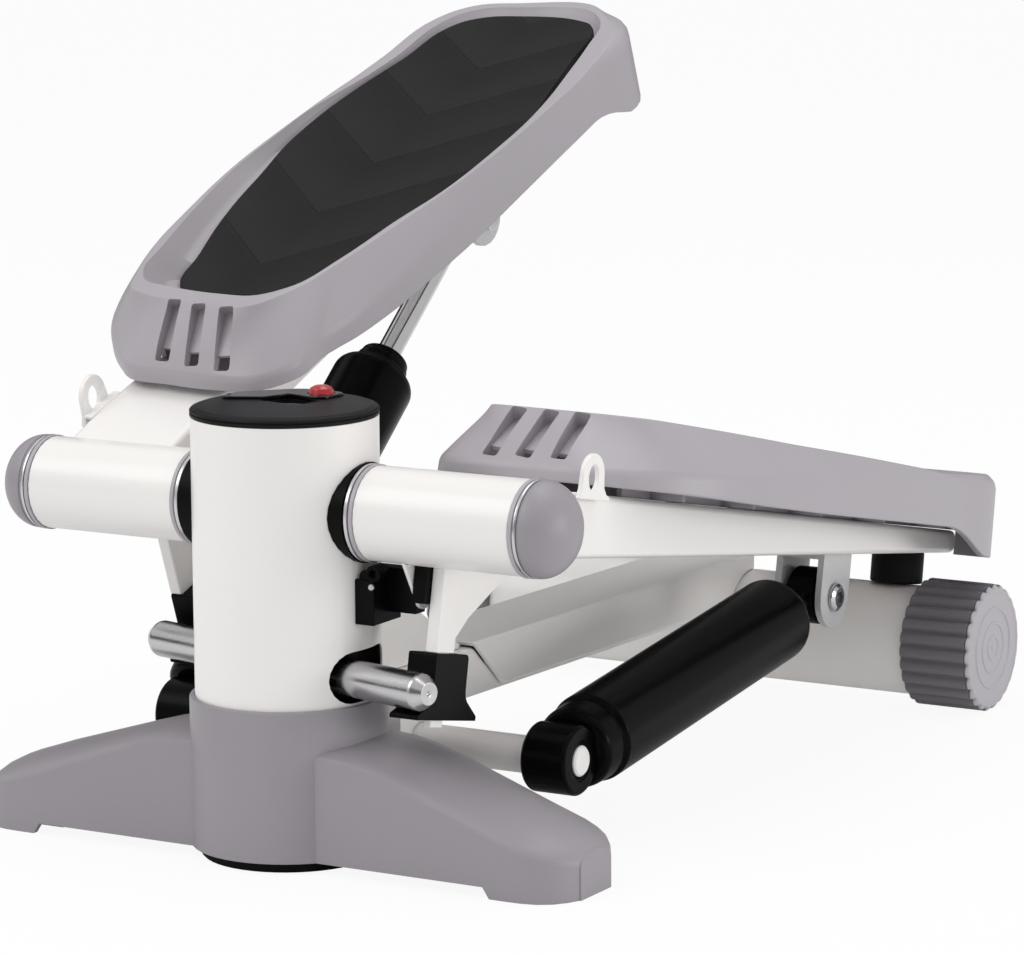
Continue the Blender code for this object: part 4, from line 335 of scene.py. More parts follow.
COLUMN_PAINT_AND_SHADE = make_column_paint_and_painted_shade()
CHEVRON_PITCH = 0.0497
CHEVRON_SLOPE = 0.94
FIRST_CHEVRON = 0.134


def make_chevron_relief_and_shading_group():
    """Masks of shallow chevron steps in a tread: each panel, which the mat raises and paints lighter as painted
    shading of its tilt, and the line along its edge, which it sinks and paints dark as painted shade.
    """
    group, given, leave = new_group("tread_chevron_relief_and_painted_shading", outputs=(("Panel", "Float"), ("Line", "Float")))
    parts = add_node(group, "SeparateXYZ")
    wire(group, parts, Vector=given["Vector"])
    aside = math_node(group, "ABSOLUTE", parts.outputs["X"], 0.0)
    lean = times(group, aside, CHEVRON_SLOPE)
    start = less(group, less(group, parts.outputs["Y"], FIRST_CHEVRON), lean)
    share = math_node(group, "FRACT", math_node(group, "DIVIDE", start, CHEVRON_PITCH), 0.0)
    panel = ranged(group, share, 1.0, 0.1, interpolation_type="SMOOTHSTEP")
    edge = math_node(group, "ABSOLUTE", less(group, share, 0.03), 0.0)
    line = ranged(group, edge, 0.03, 0.012, interpolation_type="SMOOTHSTEP")
    wire(group, leave, Panel=panel, Line=line)
    return group


CHEVRON_RELIEF_AND_SHADING = make_chevron_relief_and_shading_group()
PEDAL_CENTRES = {1: 84.1, -1: 87.1}


def make_mat_rubber_with_painted_shading(side, name, angle):
    """Charcoal tread: a fine pebble, with chevron panels that follow the pedal's own slope, painted lighter with
    darker edge lines as painted shading of the tilted steps.
    """
    finish = moulded(
        "tread_rubber_" + name, (0.0095, 0.0092, 0.0099), 0.35, grain=900.0, tone=0.2, rough=0.50,
        gloss=0.08, distance=0.0003, Specular_IOR_Level=0.10,
    )
    tree, shader, surface, place = parts_of(finish)
    settle = add_node(tree, "Mapping", vector_type="TEXTURE")
    preset(settle, Location=(side * PEDAL_CENTRES[side] * MM, 0.0, PIVOT.z), Rotation=(angle, 0.0, 0.0))
    wire(tree, settle, Vector=place.outputs["Object"])
    pattern = add_node(tree, "Group", node_tree=CHEVRON_RELIEF_AND_SHADING)
    wire(tree, pattern, Vector=settle.outputs["Vector"])
    panel = pattern.outputs["Panel"]
    line = pattern.outputs["Line"]
    # Painted shading: each chevron panel lighter and the line along its edge darker, standing for light on the
    # tilted steps.
    value = added(tree, added(tree, times(tree, panel, 0.55), times(tree, line, -0.7)), 0.85)
    wire(tree, shader, Base_Color=tinted(tree, surface.outputs["Color"], value))
    raised = added(tree, surface.outputs["Height"], times(tree, panel, 1.5))
    relief = [node for node in tree.nodes if node.type == "BUMP"][0]
    wire(tree, relief, Height=less(tree, raised, times(tree, line, 1.2)))
    return finish


MAT_RUBBERS = {name: make_mat_rubber_with_painted_shading(side, name, angle) for side, name, angle in SIDES}

WEARS = (
    (COLUMN_PAINT_AND_SHADE, "column_tube"),
    (
        WHITE_PAINT,
        "spine_tube spine_channel column_strut rear_tube damper_bracket damper_bar pivot_tube arm_beam"
        " band_hook lever_leg lever_gusset damper_fork sensor_tab",
    ),
    (GREY_PLASTIC, "pedal_shell dome_cap"),
    (BASE_PLASTIC, "base_cover"),
    (PALE_PLASTIC, "pivot_ring rear_cap"),
    (BLACK_PLASTIC, "sensor_block pivot_bush damper_cylinder magnet_holder rocker_shoe rocker_hub"),
    (CAP_PLASTIC, "display_cap"),
    (BLACK_GLOSS, "display_lens"),
    (BLACK_RUBBER, "base_pad foot_pad bumper sensor_lead"),
    (MAT_RUBBERS["right"], "pedal_mat"),
    (RED_PLASTIC, "reset_button"),
    (CHROME, "rocker_rod damper_rod fork_bolt"),
    (STEEL, "base_crossbar pivot_axle rocker_pin"),
    (GREEN_BOARD, "display_board"),
    (CELL, "battery_cell"),
)


def dress_solids():
    """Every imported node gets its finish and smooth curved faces."""
    finish_of = {stem: finish for finish, stems in WEARS for stem in stems.split()}
    for name, obj in frame["nodes"].items():
        obj.data.materials.clear()
        obj.data.materials.append(finish_of[name.removesuffix("_right").removesuffix("_left")])
        weld = obj.modifiers.new("weld", "WELD")
        weld.merge_threshold = 0.00001
        if "custom_normal" in obj.data.attributes:
            obj.data.attributes.remove(obj.data.attributes["custom_normal"])
        obj.data.shade_smooth()
        split = obj.modifiers.new("split", "EDGE_SPLIT")
        split.split_angle = math.radians(32)
        split.use_edge_sharp = False


# Pedals. Outlines are (s, v) in millimetres: s outward from the pedal's middle, v from pivot to heel.

SKIRT_LINE = (
    ((53.2, 391.5), (58.9, 342), (62.3, 288.8), (64.2, 212.8), (64.2, 167.2), (62.6, 129.2),
     (57.4, 104.5)),
    ((51.2, 90), (38, 72), (28.2, 62.5), (22.8, 57.8), (0.5, 54.5), (-22.4, 52.9), (-45.6, 56.3),
     (-55.5, 68.5)),
    ((-56.6, 92.7), (-60.8, 110.2), (-63.1, 131.5), (-64.2, 167.2), (-64.2, 212.8), (-62.3, 258.4),
     (-60.8, 291.8), (-58.5, 338.2), (-51.8, 388.5)),
    ((-42.5, 400.5), (-30.4, 406.6), (15.2, 407.4), (38, 405.1), (48.2, 399.5)),
)
RIM_LINE = (
    ((50.6, 385), (55.9, 342), (59.9, 309.3), (61.4, 266.8), (60.8, 212.8), (53.5, 158.1),
     (48.7, 133), (38, 98.8)),
    ((31.9, 85.1), (20.5, 79.8), (7.6, 76.8), (-14.4, 74.1), (-34.2, 74.5), (-45.6, 91.2)),
    ((-53.2, 121.6), (-58.1, 163.8), (-61.9, 212.8), (-61.9, 258.4), (-59.7, 309.3), (-57, 342),
     (-48.6, 378.5)),
    ((-39.8, 389.5), (-34, 396.5), (-27.4, 403.6), (15.5, 405.1), (36, 401.5), (45.5, 393.8)),
)
RECESS_LINE = (
    ((45.5, 380), (48.8, 344.3), (56.5, 303.2), (60, 279.7), (60, 247.8), (58.9, 213.6),
     (52.1, 168.3), (41.8, 122.1), (38.6, 106.8)),
    ((33.1, 97.2), (27.8, 91.8), (18.5, 89), (8.2, 86.6), (-14.7, 83.5), (-32.5, 84.1),
     (-43.7, 93.9)),
    ((-51.5, 121.6), (-55.8, 163.8), (-59.7, 192.3), (-60, 247), (-58.3, 276.6), (-55.7, 296.4),
     (-50.8, 323.8), (-44.8, 360.2), (-38.6, 386.1)),
    ((-34.8, 391.5), (-29, 397.2), (9.5, 400.2), (32.5, 396.6), (40, 391)),
)
MAT_LINE = (
    ((41.5, 379), (45.9, 345.8), (52.4, 311.6), (55.5, 285), (55.5, 250.8), (50.9, 218.9),
     (47.9, 194.6), (43.3, 170.2), (35.7, 141.4)),
    ((28.1, 114), (22.8, 109.4), (7.6, 107.9), (-7.6, 107.9), (-22.8, 109.4), (-28.1, 114)),
    ((-35.7, 141.4), (-43.3, 170.2), (-47.9, 194.6), (-50.9, 218.9), (-55.5, 250.8), (-54, 285),
     (-47.9, 319.2), (-42.6, 349.6), (-35.6, 383.5)),
    ((-31.5, 388.6), (-23, 392.4), (8, 394.8), (27.5, 392.2), (36.8, 386.5)),
)
ARC_POINTS = (44, 34, 44, 26)
RIM_OUTER_HEIGHTS = ((76, 48.6), (175, 44.5), (319, 40.7), (350, 41.8), (406, 43.4))
RIM_INNER_HEIGHTS = (
    (76, 49), (130, 48.5), (175, 46.8), (250, 43.8), (319, 41.2), (350, 41.9), (406, 43.4),
)
CREASE_LINE = ((53, 24.8), (84, 26.4), (175, 29.9), (300, 36.6), (406, 38))
SKIRT_EDGE = (
    (53, 19.2), (84, 18.8), (140, 17.3), (200, 16.7), (334, 16.7), (342, 15.6),
    (352, 13.1), (370, 5.3), (384, 4.4), (420, 4.4),
)
TOE_SLOT_ENDS = (
    ((-24.8, 73.8, 47.7), (-27.7, 52.8, 31.2)),
    ((-10.3, 74.9, 47.6), (-12.5, 54.2, 30.9)),
    ((3.0, 77.3, 47.3), (3.2, 56.4, 30.5)),
)
SLOT_MIDDLE = 87.1
SLOT_HALF_WIDTH = 3.6
TONGUE_HALF_WIDTH = 4.6
SHELL_WALL = 3.0
MAT_GAP = 0.8
DECK_SEAT = 3.3
DECK_UNDERSIDE = 6.3
NOTCH_SPOT = (0.0, 407.0, -2.1)
NOTCH_HALF_SIZE = (25.8, 20.0, 17.9)
WEB_HALF_WIDTH = 1.2
WEB_FOOT = 15.9
WEB_TOP = 5.4
LENGTHWISE_WEBS = (-21.7, 21.7)
CROSS_WEBS = (110.0, 175.0, 240.0, 305.0, 370.0)
SPAN_STEPS = 16
MAT_HEIGHT = 33.1
MAT_SLOPE = 0.0211


def between(table, v):
    """The height at v in a table of (v, height), straight from each station to the next."""
    if v <= table[0][0]:
        return table[0][1]
    for (v0, h0), (v1, h1) in zip(table, table[1:]):
        if v <= v1:
            return h0 + (h1 - h0) * (v - v0) / (v1 - v0)
    return table[-1][1]


def eased(table, v, spread=7.0):
    """The height at v, averaged over a stretch on both sides so that the stations don't show."""
    return sum(between(table, v + spread * k / 3) for k in range(-3, 4)) / 7


def spline_outline(arcs):
    """A smooth closed line through the arcs' points, with ARC_POINTS points on each arc."""
    knots = [Vector(point) for arc in arcs for point in arc]
    count = len(knots)
    spans = [(knots[(i + 1) % count] - knots[i]).length for i in range(count)]
    slopes = []
    for i in range(count):
        before = (knots[i] - knots[i - 1]) / spans[i - 1]
        after = (knots[(i + 1) % count] - knots[i]) / spans[i]
        slopes.append((before * spans[i] + after * spans[i - 1]) / (spans[i] + spans[i - 1]))
    points = []
    first = 0
    for arc, pieces in zip(arcs, ARC_POINTS):
        dense = []
        for i in range(first, first + len(arc)):
            j = (i + 1) % count
            for k in range(SPAN_STEPS):
                t = k / SPAN_STEPS
                h = 3 * t**2 - 2 * t**3
                leaving = slopes[i] * spans[i] * (t - 2 * t**2 + t**3)
                arriving = slopes[j] * spans[i] * (t**3 - t**2)
                dense.append(knots[i] * (1 - h) + knots[j] * h + leaving + arriving)
        first += len(arc)
        dense.append(knots[first % count])
        reached = [0.0]
        for a, b in zip(dense, dense[1:]):
            reached.append(reached[-1] + (b - a).length)
        step = 0
        for k in range(pieces):
            distance = reached[-1] * k / pieces
            while reached[step + 1] < distance:
                step += 1
            share = (distance - reached[step]) / (reached[step + 1] - reached[step])
            points.append(dense[step].lerp(dense[step + 1], share))
    return points


def inset_line(points, margin):
    """The line moved inwards by a margin in millimetres."""
    count = len(points)
    middle = sum(points, Vector((0.0, 0.0))) / count
    moved = []
    for i, point in enumerate(points):
        run = (points[(i + 1) % count] - point).normalized() + (point - points[i - 1]).normalized()
        normal = Vector((-run.y, run.x)).normalized()
        if normal.dot(middle - point) < 0 and abs(normal.dot((middle - point).normalized())) > 0.02:
            normal = -normal
        moved.append(point + normal * margin)
    return moved


def mixed(first, second, share):
    return [a.lerp(b, share) for a, b in zip(first, second)]


def rim_at(point):
    """The rim's height, which goes over from the inner table to the outer across the pedal."""
    outward = min(1.0, max(0.0, (point.x + 30.0) / 60.0))
    inner = eased(RIM_INNER_HEIGHTS, point.y)
    outer = eased(RIM_OUTER_HEIGHTS, point.y)
    return inner * (1 - outward) + outer * outward


def mat_top(v, below=0.0):
    return MAT_HEIGHT + MAT_SLOPE * v - below


def on_arm(side, angle, s, v, w, middle=None):
    """A point of the pedal in the machine's frame, in metres."""
    x = side * ((PEDAL_CENTRES[side] if middle is None else middle) + s) * MM
    y = v * MM * math.cos(angle) - w * MM * math.sin(angle)
    z = v * MM * math.sin(angle) + w * MM * math.cos(angle)
    return Vector((x, y, PIVOT.z + z))


def loop_edges(form, row):
    return [form.edges.get((a, b)) for a, b in zip(row, row[1:] + row[:1])]


def ring_stack(rings):
    """A bmesh of closed rings bridged one after the other and closed at both ends, with its rings."""
    form = bmesh.new()
    rows = []
    for points in rings:
        row = [form.verts.new(point) for point in points]
        for a, b in zip(row, row[1:] + row[:1]):
            form.edges.new((a, b))
        rows.append(row)
    for low, high in zip(rows, rows[1:]):
        bmesh.ops.bridge_loops(form, edges=loop_edges(form, low) + loop_edges(form, high))
    for row in (rows[0], rows[-1]):
        bmesh.ops.contextual_create(form, geom=loop_edges(form, row))
    bmesh.ops.recalc_face_normals(form, faces=form.faces)
    return form, rows


def rounded_edges(form, edges, radius, segments=4):
    bmesh.ops.bevel(
        form, geom=edges, offset=radius, offset_type="OFFSET", affect="EDGES", segments=segments,
        profile=0.5, material=-1, clamp_overlap=True,
    )


def to_piece(name, form, finish=None, body=None, node=None, slot=None, smooth=True):
    """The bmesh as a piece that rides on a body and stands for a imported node. Cutters have neither."""
    mesh = bpy.data.meshes.new(name)
    form.to_mesh(mesh)
    form.free()
    piece = bpy.data.objects.new(name, mesh)
    bpy.context.scene.collection.objects.link(piece)
    if finish:
        mesh.materials.append(finish)
    if smooth:
        mesh.shade_smooth()
    if body:
        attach(piece, body)
        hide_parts(node)
    return piece


def carved(piece, cutters):
    """Takes the cutters out of the piece, which is left a plain smooth mesh."""
    for cutter in cutters:
        carve = piece.modifiers.new("carve", "BOOLEAN")
        carve.object = cutter
        carve.solver = "EXACT"
    graph = bpy.context.evaluated_depsgraph_get()
    mesh = bpy.data.meshes.new_from_object(piece.evaluated_get(graph))
    old = piece.data
    piece.modifiers.clear()
    piece.data = mesh
    bpy.data.meshes.remove(old)
    for cutter in cutters:
        bpy.data.objects.remove(cutter)
    mesh.shade_smooth()


def keep_crisp(piece, width=0.0, segments=2):
    """Rounds by the width what is still sharp, then holds the flats flat."""
    if width:
        rounded = piece.modifiers.new("rounded", "BEVEL")
        rounded.width = width
        rounded.segments = segments
        rounded.limit_method = "ANGLE"
        rounded.angle_limit = math.radians(50)
        rounded.miter_outer = "MITER_ARC"
    flats = piece.modifiers.new("flats", "WEIGHTED_NORMAL")
    flats.keep_sharp = False
    flats.weight = 60


def slot_frame(side, angle, ends):
    """The frame of a toe slot, with its middle, its run and its way outwards, and the slot's length."""
    top, bottom = [on_arm(side, angle, s, v, w, SLOT_MIDDLE) for s, v, w in ends]
    run = (top - bottom).normalized()
    across = (Vector((1, 0, 0)) - run * run.x).normalized()
    outward = across.cross(run).normalized()
    if outward.z < 0:
        outward = -outward
        across = -across
    turn = Matrix((across, run, outward)).transposed().to_4x4()
    return Matrix.Translation((top + bottom) / 2) @ turn, (top - bottom).length


def block_in(place, low, high, corner=0.0):
    """A block between two corners of a turned frame, its upright edges rounded by the corner radius."""
    low, high = Vector(low), Vector(high)
    form = bmesh.new()
    bmesh.ops.create_cube(form, size=1.0)
    upright = [e for e in form.edges if abs((e.verts[0].co - e.verts[1].co).normalized().z) > 0.9]
    bmesh.ops.scale(form, verts=form.verts, vec=high - low)
    if corner:
        rounded_edges(form, upright, corner)
    bmesh.ops.transform(form, matrix=place @ Matrix.Translation((low + high) / 2), verts=form.verts)
    bmesh.ops.recalc_face_normals(form, faces=form.faces)
    return form


def slot_cutter(side, angle, ends):
    """A square-ended slot with small corner rounds, cut square to the slope of the toe."""
    place, length = slot_frame(side, angle, ends)
    low = (-SLOT_HALF_WIDTH * MM, -length / 2, -13.0 * MM)
    high = (SLOT_HALF_WIDTH * MM, length / 2, 6.0 * MM)
    return to_piece("slot_cutter", block_in(place, low, high, 1.3 * MM))


def of_shell(name):
    """What a piece of the pedal shell is made of, rides on and stands for."""
    return GREY_PLASTIC, "pedal_" + name, "pedal_shell_" + name, "grey_plastic"


def make_slot_backs(side, name, angle):
    """The tongue behind each toe slot, which closes it but for its lower end."""
    for index, ends in enumerate(TOE_SLOT_ENDS):
        place, length = slot_frame(side, angle, ends)
        low = (-TONGUE_HALF_WIDTH * MM, -0.24 * length, -7.4 * MM)
        high = (TONGUE_HALF_WIDTH * MM, 0.60 * length, -5.2 * MM)
        label = "slot_back_" + name + "_" + str(index + 1)
        back = to_piece(label, block_in(place, low, high, 1.0 * MM), *of_shell(name))
        keep_crisp(back, 0.4 * MM)


def make_pedal_shell(side, name, angle):
    """The hollow cover: skirt, shoulder, rim and recess, with a notch at the heel and toe slots."""
    skirt = spline_outline(SKIRT_LINE)
    rim = spline_outline(RIM_LINE)
    recess = spline_outline(RECESS_LINE)
    mat = spline_outline(MAT_LINE)
    floor_edge = inset_line(mat, -MAT_GAP)
    under = inset_line(mat, -3.2)
    wall = inset_line(skirt, SHELL_WALL)
    shoulder = inset_line(skirt, 0.4)
    crease = [eased(CREASE_LINE, p.y) for p in skirt]
    low = [eased(SKIRT_EDGE, p.y, 3.0) for p in skirt]

    def ring(points, heights):
        return [on_arm(side, angle, p.x, p.y, h) for p, h in zip(points, heights)]

    ridge = mixed(rim, recess, 0.5)
    rows = [
        ring(under, [mat_top(p.y, DECK_UNDERSIDE) for p in under]),
        ring(ridge, [max(rim_at(p) - 5.0, c - 1.2) for p, c in zip(ridge, crease)]),
        ring(wall, [c - 1.6 for c in crease]),
        ring(wall, low),
        ring(skirt, low),
        ring(shoulder, crease),
    ]
    for share, swell in ((0.35, 0.7), (0.7, 0.5)):
        heights = [c + (rim_at(q) - c) * share + swell for q, c in zip(rim, crease)]
        rows.append(ring(mixed(shoulder, rim, share), heights))
    rows.append(ring(rim, [rim_at(p) for p in rim]))
    rows.append(ring(recess, [rim_at(p) for p in recess]))
    floor_heights = [mat_top(p.y, DECK_SEAT) for p in floor_edge]
    slope_heights = [0.42 * rim_at(q) + 0.58 * h - 0.8 for q, h in zip(recess, floor_heights)]
    rows.append(ring(mixed(recess, floor_edge, 0.5), slope_heights))
    rows.append(ring(floor_edge, floor_heights))
    form, loops = ring_stack(rows)
    for index, radius in ((4, 0.8), (5, 2.4), (8, 1.1), (9, 1.0)):
        rounded_edges(form, loop_edges(form, loops[index]), radius * MM)
    shell = to_piece("pedal_cover_" + name, form, *of_shell(name))
    spot = Matrix.Translation(on_arm(side, angle, *NOTCH_SPOT, SLOT_MIDDLE))
    half = Vector(NOTCH_HALF_SIZE) * MM
    notch = to_piece("notch_cutter", block_in(spot @ Matrix.Rotation(angle, 4, "X"), -half, half))
    carved(shell, [notch] + [slot_cutter(side, angle, ends) for ends in TOE_SLOT_ENDS])
    keep_crisp(shell, 0.6 * MM)
    make_pedal_webs(side, name, angle)
    make_slot_backs(side, name, angle)


def box_on_arm(form, side, angle, span_s, span_v, bottom, top, middle=None):
    """A block in the pedal's own frame, whose top follows a height given for each v."""
    for vert in bmesh.ops.create_cube(form, size=1.0)["verts"]:
        s = span_s[vert.co.x > 0]
        v = span_v[vert.co.y > 0]
        vert.co = on_arm(side, angle, s, v, top(v) if vert.co.z > 0 else bottom, middle)
    bmesh.ops.recalc_face_normals(form, faces=form.faces)


def make_pedal_webs(side, name, angle):
    """Thin webs under the deck, which rest on the arm."""
    form = bmesh.new()
    half = WEB_HALF_WIDTH
    spans = [((s - half, s + half), (84.0, 400.0)) for s in LENGTHWISE_WEBS]
    spans += [((-38.0, 38.0), (v - half, v + half)) for v in CROSS_WEBS]
    for span_s, span_v in spans:
        box_on_arm(form, side, angle, span_s, span_v, WEB_FOOT, lambda v: mat_top(v, WEB_TOP))
    to_piece("pedal_webs_" + name, form, *of_shell(name), smooth=False)


def make_pedal_mat(side, name, angle):
    """The tread mat, with a rounded border."""
    mat = spline_outline(MAT_LINE)
    rows = []
    for inset, below in ((0.0, 3.0), (0.0, 0.9), (0.3, 0.35), (0.9, 0.05), (1.8, 0.0)):
        rows.append([on_arm(side, angle, p.x, p.y, mat_top(p.y, below)) for p in inset_line(mat, inset)])
    piece = to_piece(
        "tread_" + name, ring_stack(rows)[0], MAT_RUBBERS[name], "pedal_" + name, "pedal_mat_" + name,
        "mat_rubber",
    )
    keep_crisp(piece)


# Turned, fluted and carved pieces. Profiles are (radius, height on the axis, fillet) in millimetres.

INNER_RING = (
    (9.2, 59.2), (16.7, 59.2), (16.7, 43.4), (19.7, 43.4, 0.3), (19.7, 41.7, 0.3), (18.6, 41.6),
    (18.6, 41.2), (9.2, 41.2), (9.2, 59.2),
)
BRIGHT_RING = (
    (16, 41.2), (18.9, 41.2), (19.8, 41, 0.2), (19.8, 39.4, 0.5), (18.2, 39.4), (16, 39.6),
    (16, 41.2),
)
DOME_SKIRT = (
    (19.4, 118.8, 0.2), (18.9, 118.7), (18.9, 117.9), (18.9, 117.6), (14, 117.6), (14, 98),
    (9.2, 98), (9.2, 118.7), (0, 118.7),
)
DOME_BAND = (
    (14.3, 117.6), (19.5, 117.6, 0.4), (19.7, 117, 0.2), (19.6, 116.3, 0.2), (14.3, 116.3), (14.3, 117.6),
)
DOME_COLLAR = ((14.3, 115.9), (19.6, 115.9, 0.3), (19.7, 114, 0.3), (14.3, 114), (14.3, 115.9))
WHEEL_FACE = (
    (0, 141.6), (25.6, 141.6), (25.6, 144.35), (19.4, 144.25), (19, 144.9, 0.2), (18, 144.9, 0.2),
    (17.6, 144.25), (12.4, 144.2), (12, 144.85, 0.2), (11, 144.85, 0.2), (10.6, 144.2), (6.4, 144.2),
    (6, 144.8, 0.2), (5, 144.8, 0.2), (4.6, 144.2), (1.8, 144.2), (1.4, 144.7, 0.2), (0, 144.8),
)
OIL_CYLINDER = (
    (0, 10.6), (12, 10.6), (17.2, 11.6, 4), (17.8, 22.6, 1.4), (17.1, 24, 0.5), (17.1, 25, 0.4),
    (19, 26.6, 1.4), (19, 195, 6.5), (12.8, 198.4, 1.4), (12.2, 200.2, 0.8), (12.2, 203.4, 1),
    (11.3, 204.2, 0.4), (11.3, 206.6, 0.8), (8.4, 207, 0.6), (8, 205.4), (5.9, 205.2), (5.9, 193),
    (16.5, 193), (16.5, 23), (0, 23),
)
FOOT_EYE = (
    (6.5, -10.5), (13.4, -10.5, 1.2), (14.5, -9.2, 1), (14.5, 9.2, 1), (13.4, 10.5, 1.2),
    (8.6, 10.5, 0.3), (8.4, 9.9, 0.2), (6.5, 9.9), (6.5, -10.5),
)
ROD_EYE = (
    (8, -7), (11.9, -7, 1), (12.8, -6, 0.8), (12.8, 6, 0.8), (11.9, 7, 1), (8, 7),
    (8, -7),
)
PUSH_ROD_END = (
    (0, 80.2), (0.9, 80.6), (1.2, 81.3), (4.6, 81.4, 0.3), (7.4, 77.4, 0.5), (7.6, 76.4, 0.4),
)
SOCKET_BOLT = (
    (0, 104.5), (4.6, 104.5, 0.6), (6.5, 103.4, 1.2), (6.6, 102.1, 0.2), (4, 102.1), (4, 77.9),
    (6.6, 77.9, 0.2), (6.6, 74.4, 0.4), (5.6, 74.1), (0, 74.1),
)
DISPLAY_CAP = (
    (0, 184.05), (35.4, 184.1, 0.8), (37.6, 183.3, 0.7), (38.2, 182.5, 0.4), (38.2, 182.2, 0.2),
    (37.55, 182, 0.15), (37.55, 181.6, 0.15), (38.2, 181.4, 0.3), (38.2, 180.3, 0.2), (35.7, 180.3),
    (35.7, 166.3), (33.7, 166.3), (33.7, 181.6), (0, 181.6),
)
RED_BUTTON = (
    (0, 4.4), (2.6, 4.25, 0.8), (4.6, 3.2, 1.2), (5.3, 1.2, 1), (5.3, -2.8), (6.9, -2.8), (6.9, -4),
    (2, -4), (2, -7), (0, -7),
)


def corner_bend(before, here, after, radius, steps):
    """The points of a soft bend that takes the place of a corner."""
    back = (before - here).normalized()
    ahead = (after - here).normalized()
    reach = radius / math.tan(back.angle(ahead) / 2)
    start = here + back * reach
    end = here + ahead * reach
    shares = [k / steps for k in range(steps + 1)]
    return [here * (2 * t * (1 - t)) + start * (1 - t) ** 2 + end * t**2 for t in shares]


def filleted(profile):
    """The profile's points, with a bend at each one that gives a fillet."""
    points = [Vector(point[:2]) for point in profile]
    bent = []
    for i, point in enumerate(profile):
        if len(point) < 3:
            bent.append(points[i])
        else:
            bent += corner_bend(points[i - 1], points[i], points[i + 1], point[2], 5)
    return bent


def turn_onto(axis):
    """The turn that lays the Z axis along another axis."""
    return UP.rotation_difference(Vector(axis)).to_matrix().to_4x4()


def turned_piece(name, profile, origin, axis, finish, body, node, slot, steps=96):
    """A piece made by spinning a profile once round the axis through the origin."""
    form = bmesh.new()
    row = [form.verts.new((r * MM, 0.0, h * MM)) for r, h in filleted(profile)]
    edges = [form.edges.new((a, b)) for a, b in zip(row, row[1:])]
    bmesh.ops.spin(
        form, geom=row + edges, cent=(0, 0, 0), axis=UP, angle=math.tau, steps=steps, use_merge=True,
    )
    bmesh.ops.remove_doubles(form, verts=form.verts, dist=0.000002)
    bmesh.ops.recalc_face_normals(form, faces=form.faces)
    bmesh.ops.transform(form, matrix=Matrix.Translation(origin) @ turn_onto(axis), verts=form.verts)
    piece = to_piece(name, form, finish, body, node, slot)
    keep_crisp(piece)
    return piece


def sideways(side):
    return (float(side), 0.0, 0.0)


def make_sleeve_ends(side, name):
    """The rings at the tube's inner end, and the domed cap with its bands at the outer end."""
    dome = [(0.0, 134.0)]
    for k in range(1, 17):
        turn = math.radians(88.0 * k / 16)
        dome.append((19.5 * math.sin(turn), 119.0 + 15.0 * math.cos(turn)))
    for label, profile, finish, node, slot in (
        ("inner_ring_", INNER_RING, PALE_PLASTIC, "pivot_ring_", "pale_plastic"),
        ("bright_ring_", BRIGHT_RING, BRIGHT_BAND, "pivot_ring_", "pale_plastic"),
        ("domed_cap_", (*dome, *DOME_SKIRT), BASE_PLASTIC, "dome_cap_", "grey_plastic"),
        ("dome_band_", DOME_BAND, BRIGHT_BAND, "dome_cap_", "grey_plastic"),
        ("dome_collar_", DOME_COLLAR, PALE_PLASTIC, "dome_cap_", "grey_plastic"),
    ):
        turned_piece(
            label + name, profile, PIVOT, sideways(side), finish, "pedal_" + name, node + name, slot,
        )


RIBS = 26
POINTS_PER_RIB = 10
BARREL_RINGS = (
    (140.9, 25.7, 0), (110, 25.7, 0), (110, 28, 1.4), (110.7, 29.2, 2.4), (111.8, 29.55, 2.8),
    (142.3, 29.55, 2.8), (142.8, 29.3, 2.6), (142.8, 25.7, 0),
)
LIP_RINGS = (
    (141.6, 25, 0), (142.9, 25, 0), (142.9, 29.4, 2.2), (143.6, 29, 1.7), (144.3, 28.2, 0.9),
    (144.7, 27.2, 0.2), (144.8, 26.2, 0), (144.4, 25.4, 0),
)


def make_rear_cap(side, name):
    """The fluted wheel cap, from rings of (distance, radius, flute depth), and its ringed face."""
    low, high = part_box("rear_cap_" + name)
    centre = (low + high) / 2

    def ring(x, radius, groove):
        points = []
        for k in range(RIBS * POINTS_PER_RIB):
            turn = math.tau * k / (RIBS * POINTS_PER_RIB) - math.pi / 2
            dip = abs((k % POINTS_PER_RIB) / POINTS_PER_RIB - 0.5) * 2
            r = (radius - groove * dip**2.2) * MM
            points.append((side * x * MM, centre.y + r * math.cos(turn), centre.z + r * math.sin(turn)))
        return points

    for label, rings, finish in (
        ("wheel_cap_", BARREL_RINGS, WHEEL_PLASTIC), ("wheel_lip_", LIP_RINGS, PALE_PLASTIC),
    ):
        form = ring_stack([ring(*row) for row in rings])[0]
        keep_crisp(to_piece(label + name, form, finish, "frame", "rear_cap_" + name, "pale_plastic"))
    turned_piece(
        "wheel_face_" + name, WHEEL_FACE, (0, centre.y, centre.z), sideways(side), PALE_PLASTIC,
        "frame", "rear_cap_" + name, "pale_plastic",
    )


ROD_RUN = 129.8


def joint_named(label):
    return [joint for joint in frame["joints"] if joint["name"] == label][0]


